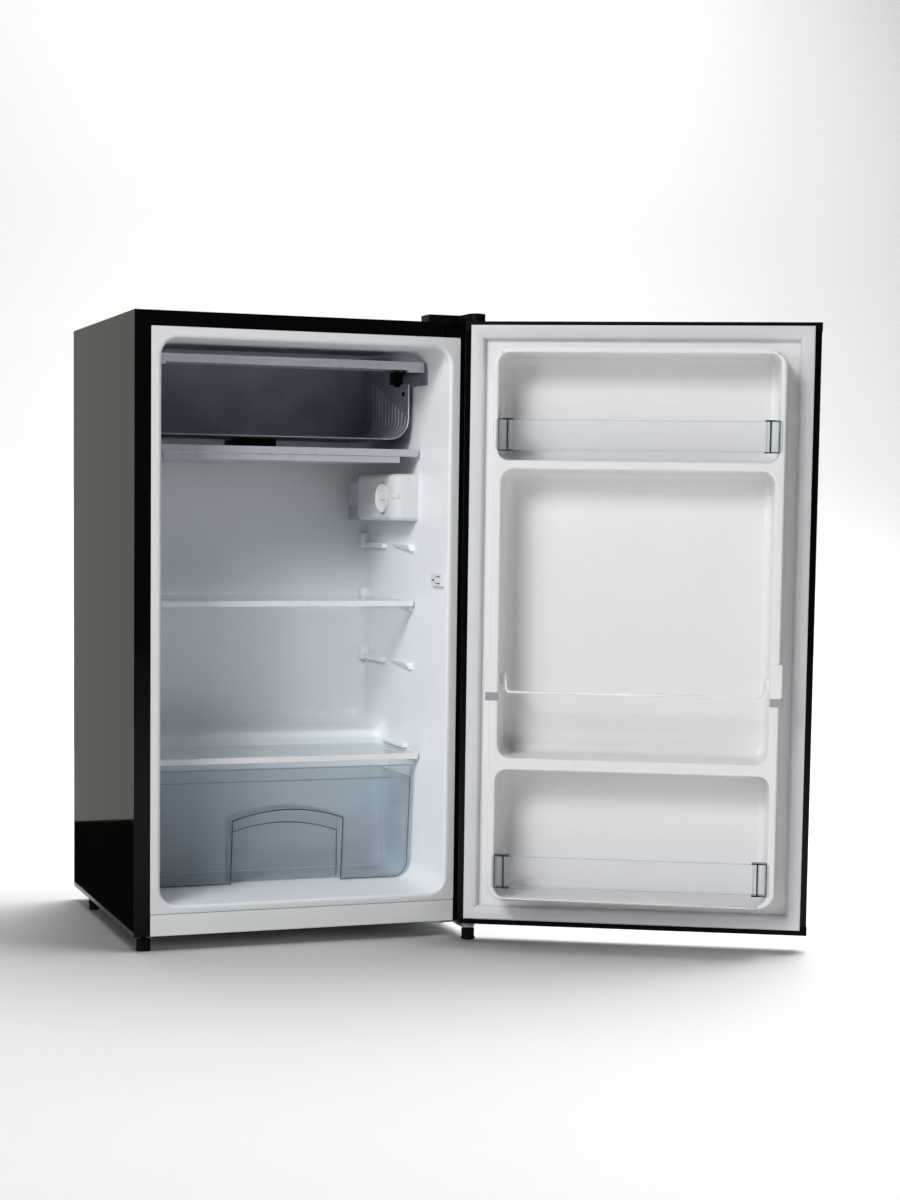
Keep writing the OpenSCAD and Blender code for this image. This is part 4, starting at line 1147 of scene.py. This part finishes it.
def build_floor():
    """A pale floor that curves up into a slightly darker backdrop."""
    mat, tree, shader = material("pale_floor", (0.90, 0.90, 0.90), 0.9)
    pale = ramp(tree, noise(tree, 3.0), [(0.3, (0.90, 0.90, 0.90)), (0.7, (0.91, 0.91, 0.91))])
    shader.inputs["Specular IOR Level"].default_value = 0.1
    rise = along(tree, "Z", 0.0, 0.8, 0.0, 1.0, soft=True)
    tree.links.new(blend(tree, rise, pale, (0.74, 0.74, 0.74)), shader.inputs["Base Color"])
    bm = bmesh.new()
    sweep = [(y, 0.0) for y in (-6000, FLOOR_BACK)]
    for a in arc(16, -QUARTER, 0):
        sweep.append((FLOOR_BACK + SWEEP_R * math.cos(a), SWEEP_R + SWEEP_R * math.sin(a)))
    sweep.append((FLOOR_BACK + SWEEP_R, 6000))
    loft(bm, [[(x, y, z) for y, z in sweep] for x in (-7000, 7000)], close=False)
    bm_object(bm, "floor", mat)


def card(name, corners, colour):
    """A studio card that only shows in reflections."""
    mat, _, shader = material(name, (0, 0, 0), 1.0)
    shader.inputs["Specular IOR Level"].default_value = 0.0
    shader.inputs["Emission Color"].default_value = (*colour, 1)
    shader.inputs["Emission Strength"].default_value = 1.0
    bm = bmesh.new()
    bm.faces.new([bm.verts.new(c) for c in corners])
    obj = bm_object(bm, name, mat)
    obj.visible_camera = False
    obj.visible_diffuse = False
    obj.visible_shadow = False
    obj.visible_transmission = False


def build_cards():
    """An olive-grey wall and a dark floor beyond the left side, which its gloss mirrors."""
    x0, x1, near, far = -4000, -260, 60, 1200
    card("olive_card", [(x0, far, 2), (x1, far, 2), (x1, far, 2600), (x0, far, 2600)], (0.40, 0.42, 0.37))
    card("dark_card", [(x0, near, 2), (x1, near, 2), (x1, far, 2), (x0, far, 2)], (0.004, 0.004, 0.005))


def build_camera():
    """The photograph's viewpoint, as fitted to the corners of the cabinet and the open door."""
    camera = bpy.data.cameras.new("camera")
    obj = bpy.data.objects.new("camera", camera)
    SCENE.collection.objects.link(obj)
    yaw, pitch, roll = (math.radians(a) for a in (20.316, 4.781, -0.775))
    ahead = Vector((math.sin(yaw) * math.cos(pitch), math.cos(yaw) * math.cos(pitch), -math.sin(pitch)))
    right = Vector((math.cos(yaw), -math.sin(yaw), 0))
    down = ahead.cross(right)
    across = math.cos(roll) * right + math.sin(roll) * down
    up = math.sin(roll) * right - math.cos(roll) * down
    turn = Matrix((across, up, -ahead)).transposed()
    obj.matrix_world = Matrix.Translation((-0.8433, -2.8250, 0.58895)) @ turn.to_4x4()
    camera.sensor_width = 36
    camera.lens = 66.41
    camera.shift_x = 0.0003
    camera.shift_y = 0.0760
    SCENE.camera = obj


build_world()
build_floor()
build_cards()
middle = (CAD_BOX[0] + CAD_BOX[1]) / 2
area("overhead", (1.1, 1.3, 3.8), (0.8, 0.9, 0), (5.0, 4.0), 110)
area("floor_wash", (2.0, 1.0, 3.6), (1.1, 0.6, 0), (4.4, 4.0), 200, only=["floor"])
area("floor_fill", (2.2, -1.9, 0.8), (0.35, -0.35, 0), (0.9, 0.9), 14, only=["floor"])
area("key", (-2.3, -2.2, 2.4), (0, 0, 0.35), (1.0, 1.0), 72, without=["floor"])
area("left_fill", (-2.9, -1.7, 1.2), middle, (1.0, 1.0), 26, without=["floor"])
area("cavity_key", (-1.8, -2.7, 2.4), (0, 0, 0.35), (0.9, 0.9), 36, only=["formed_liner", "liner_ledges"])
build_camera()
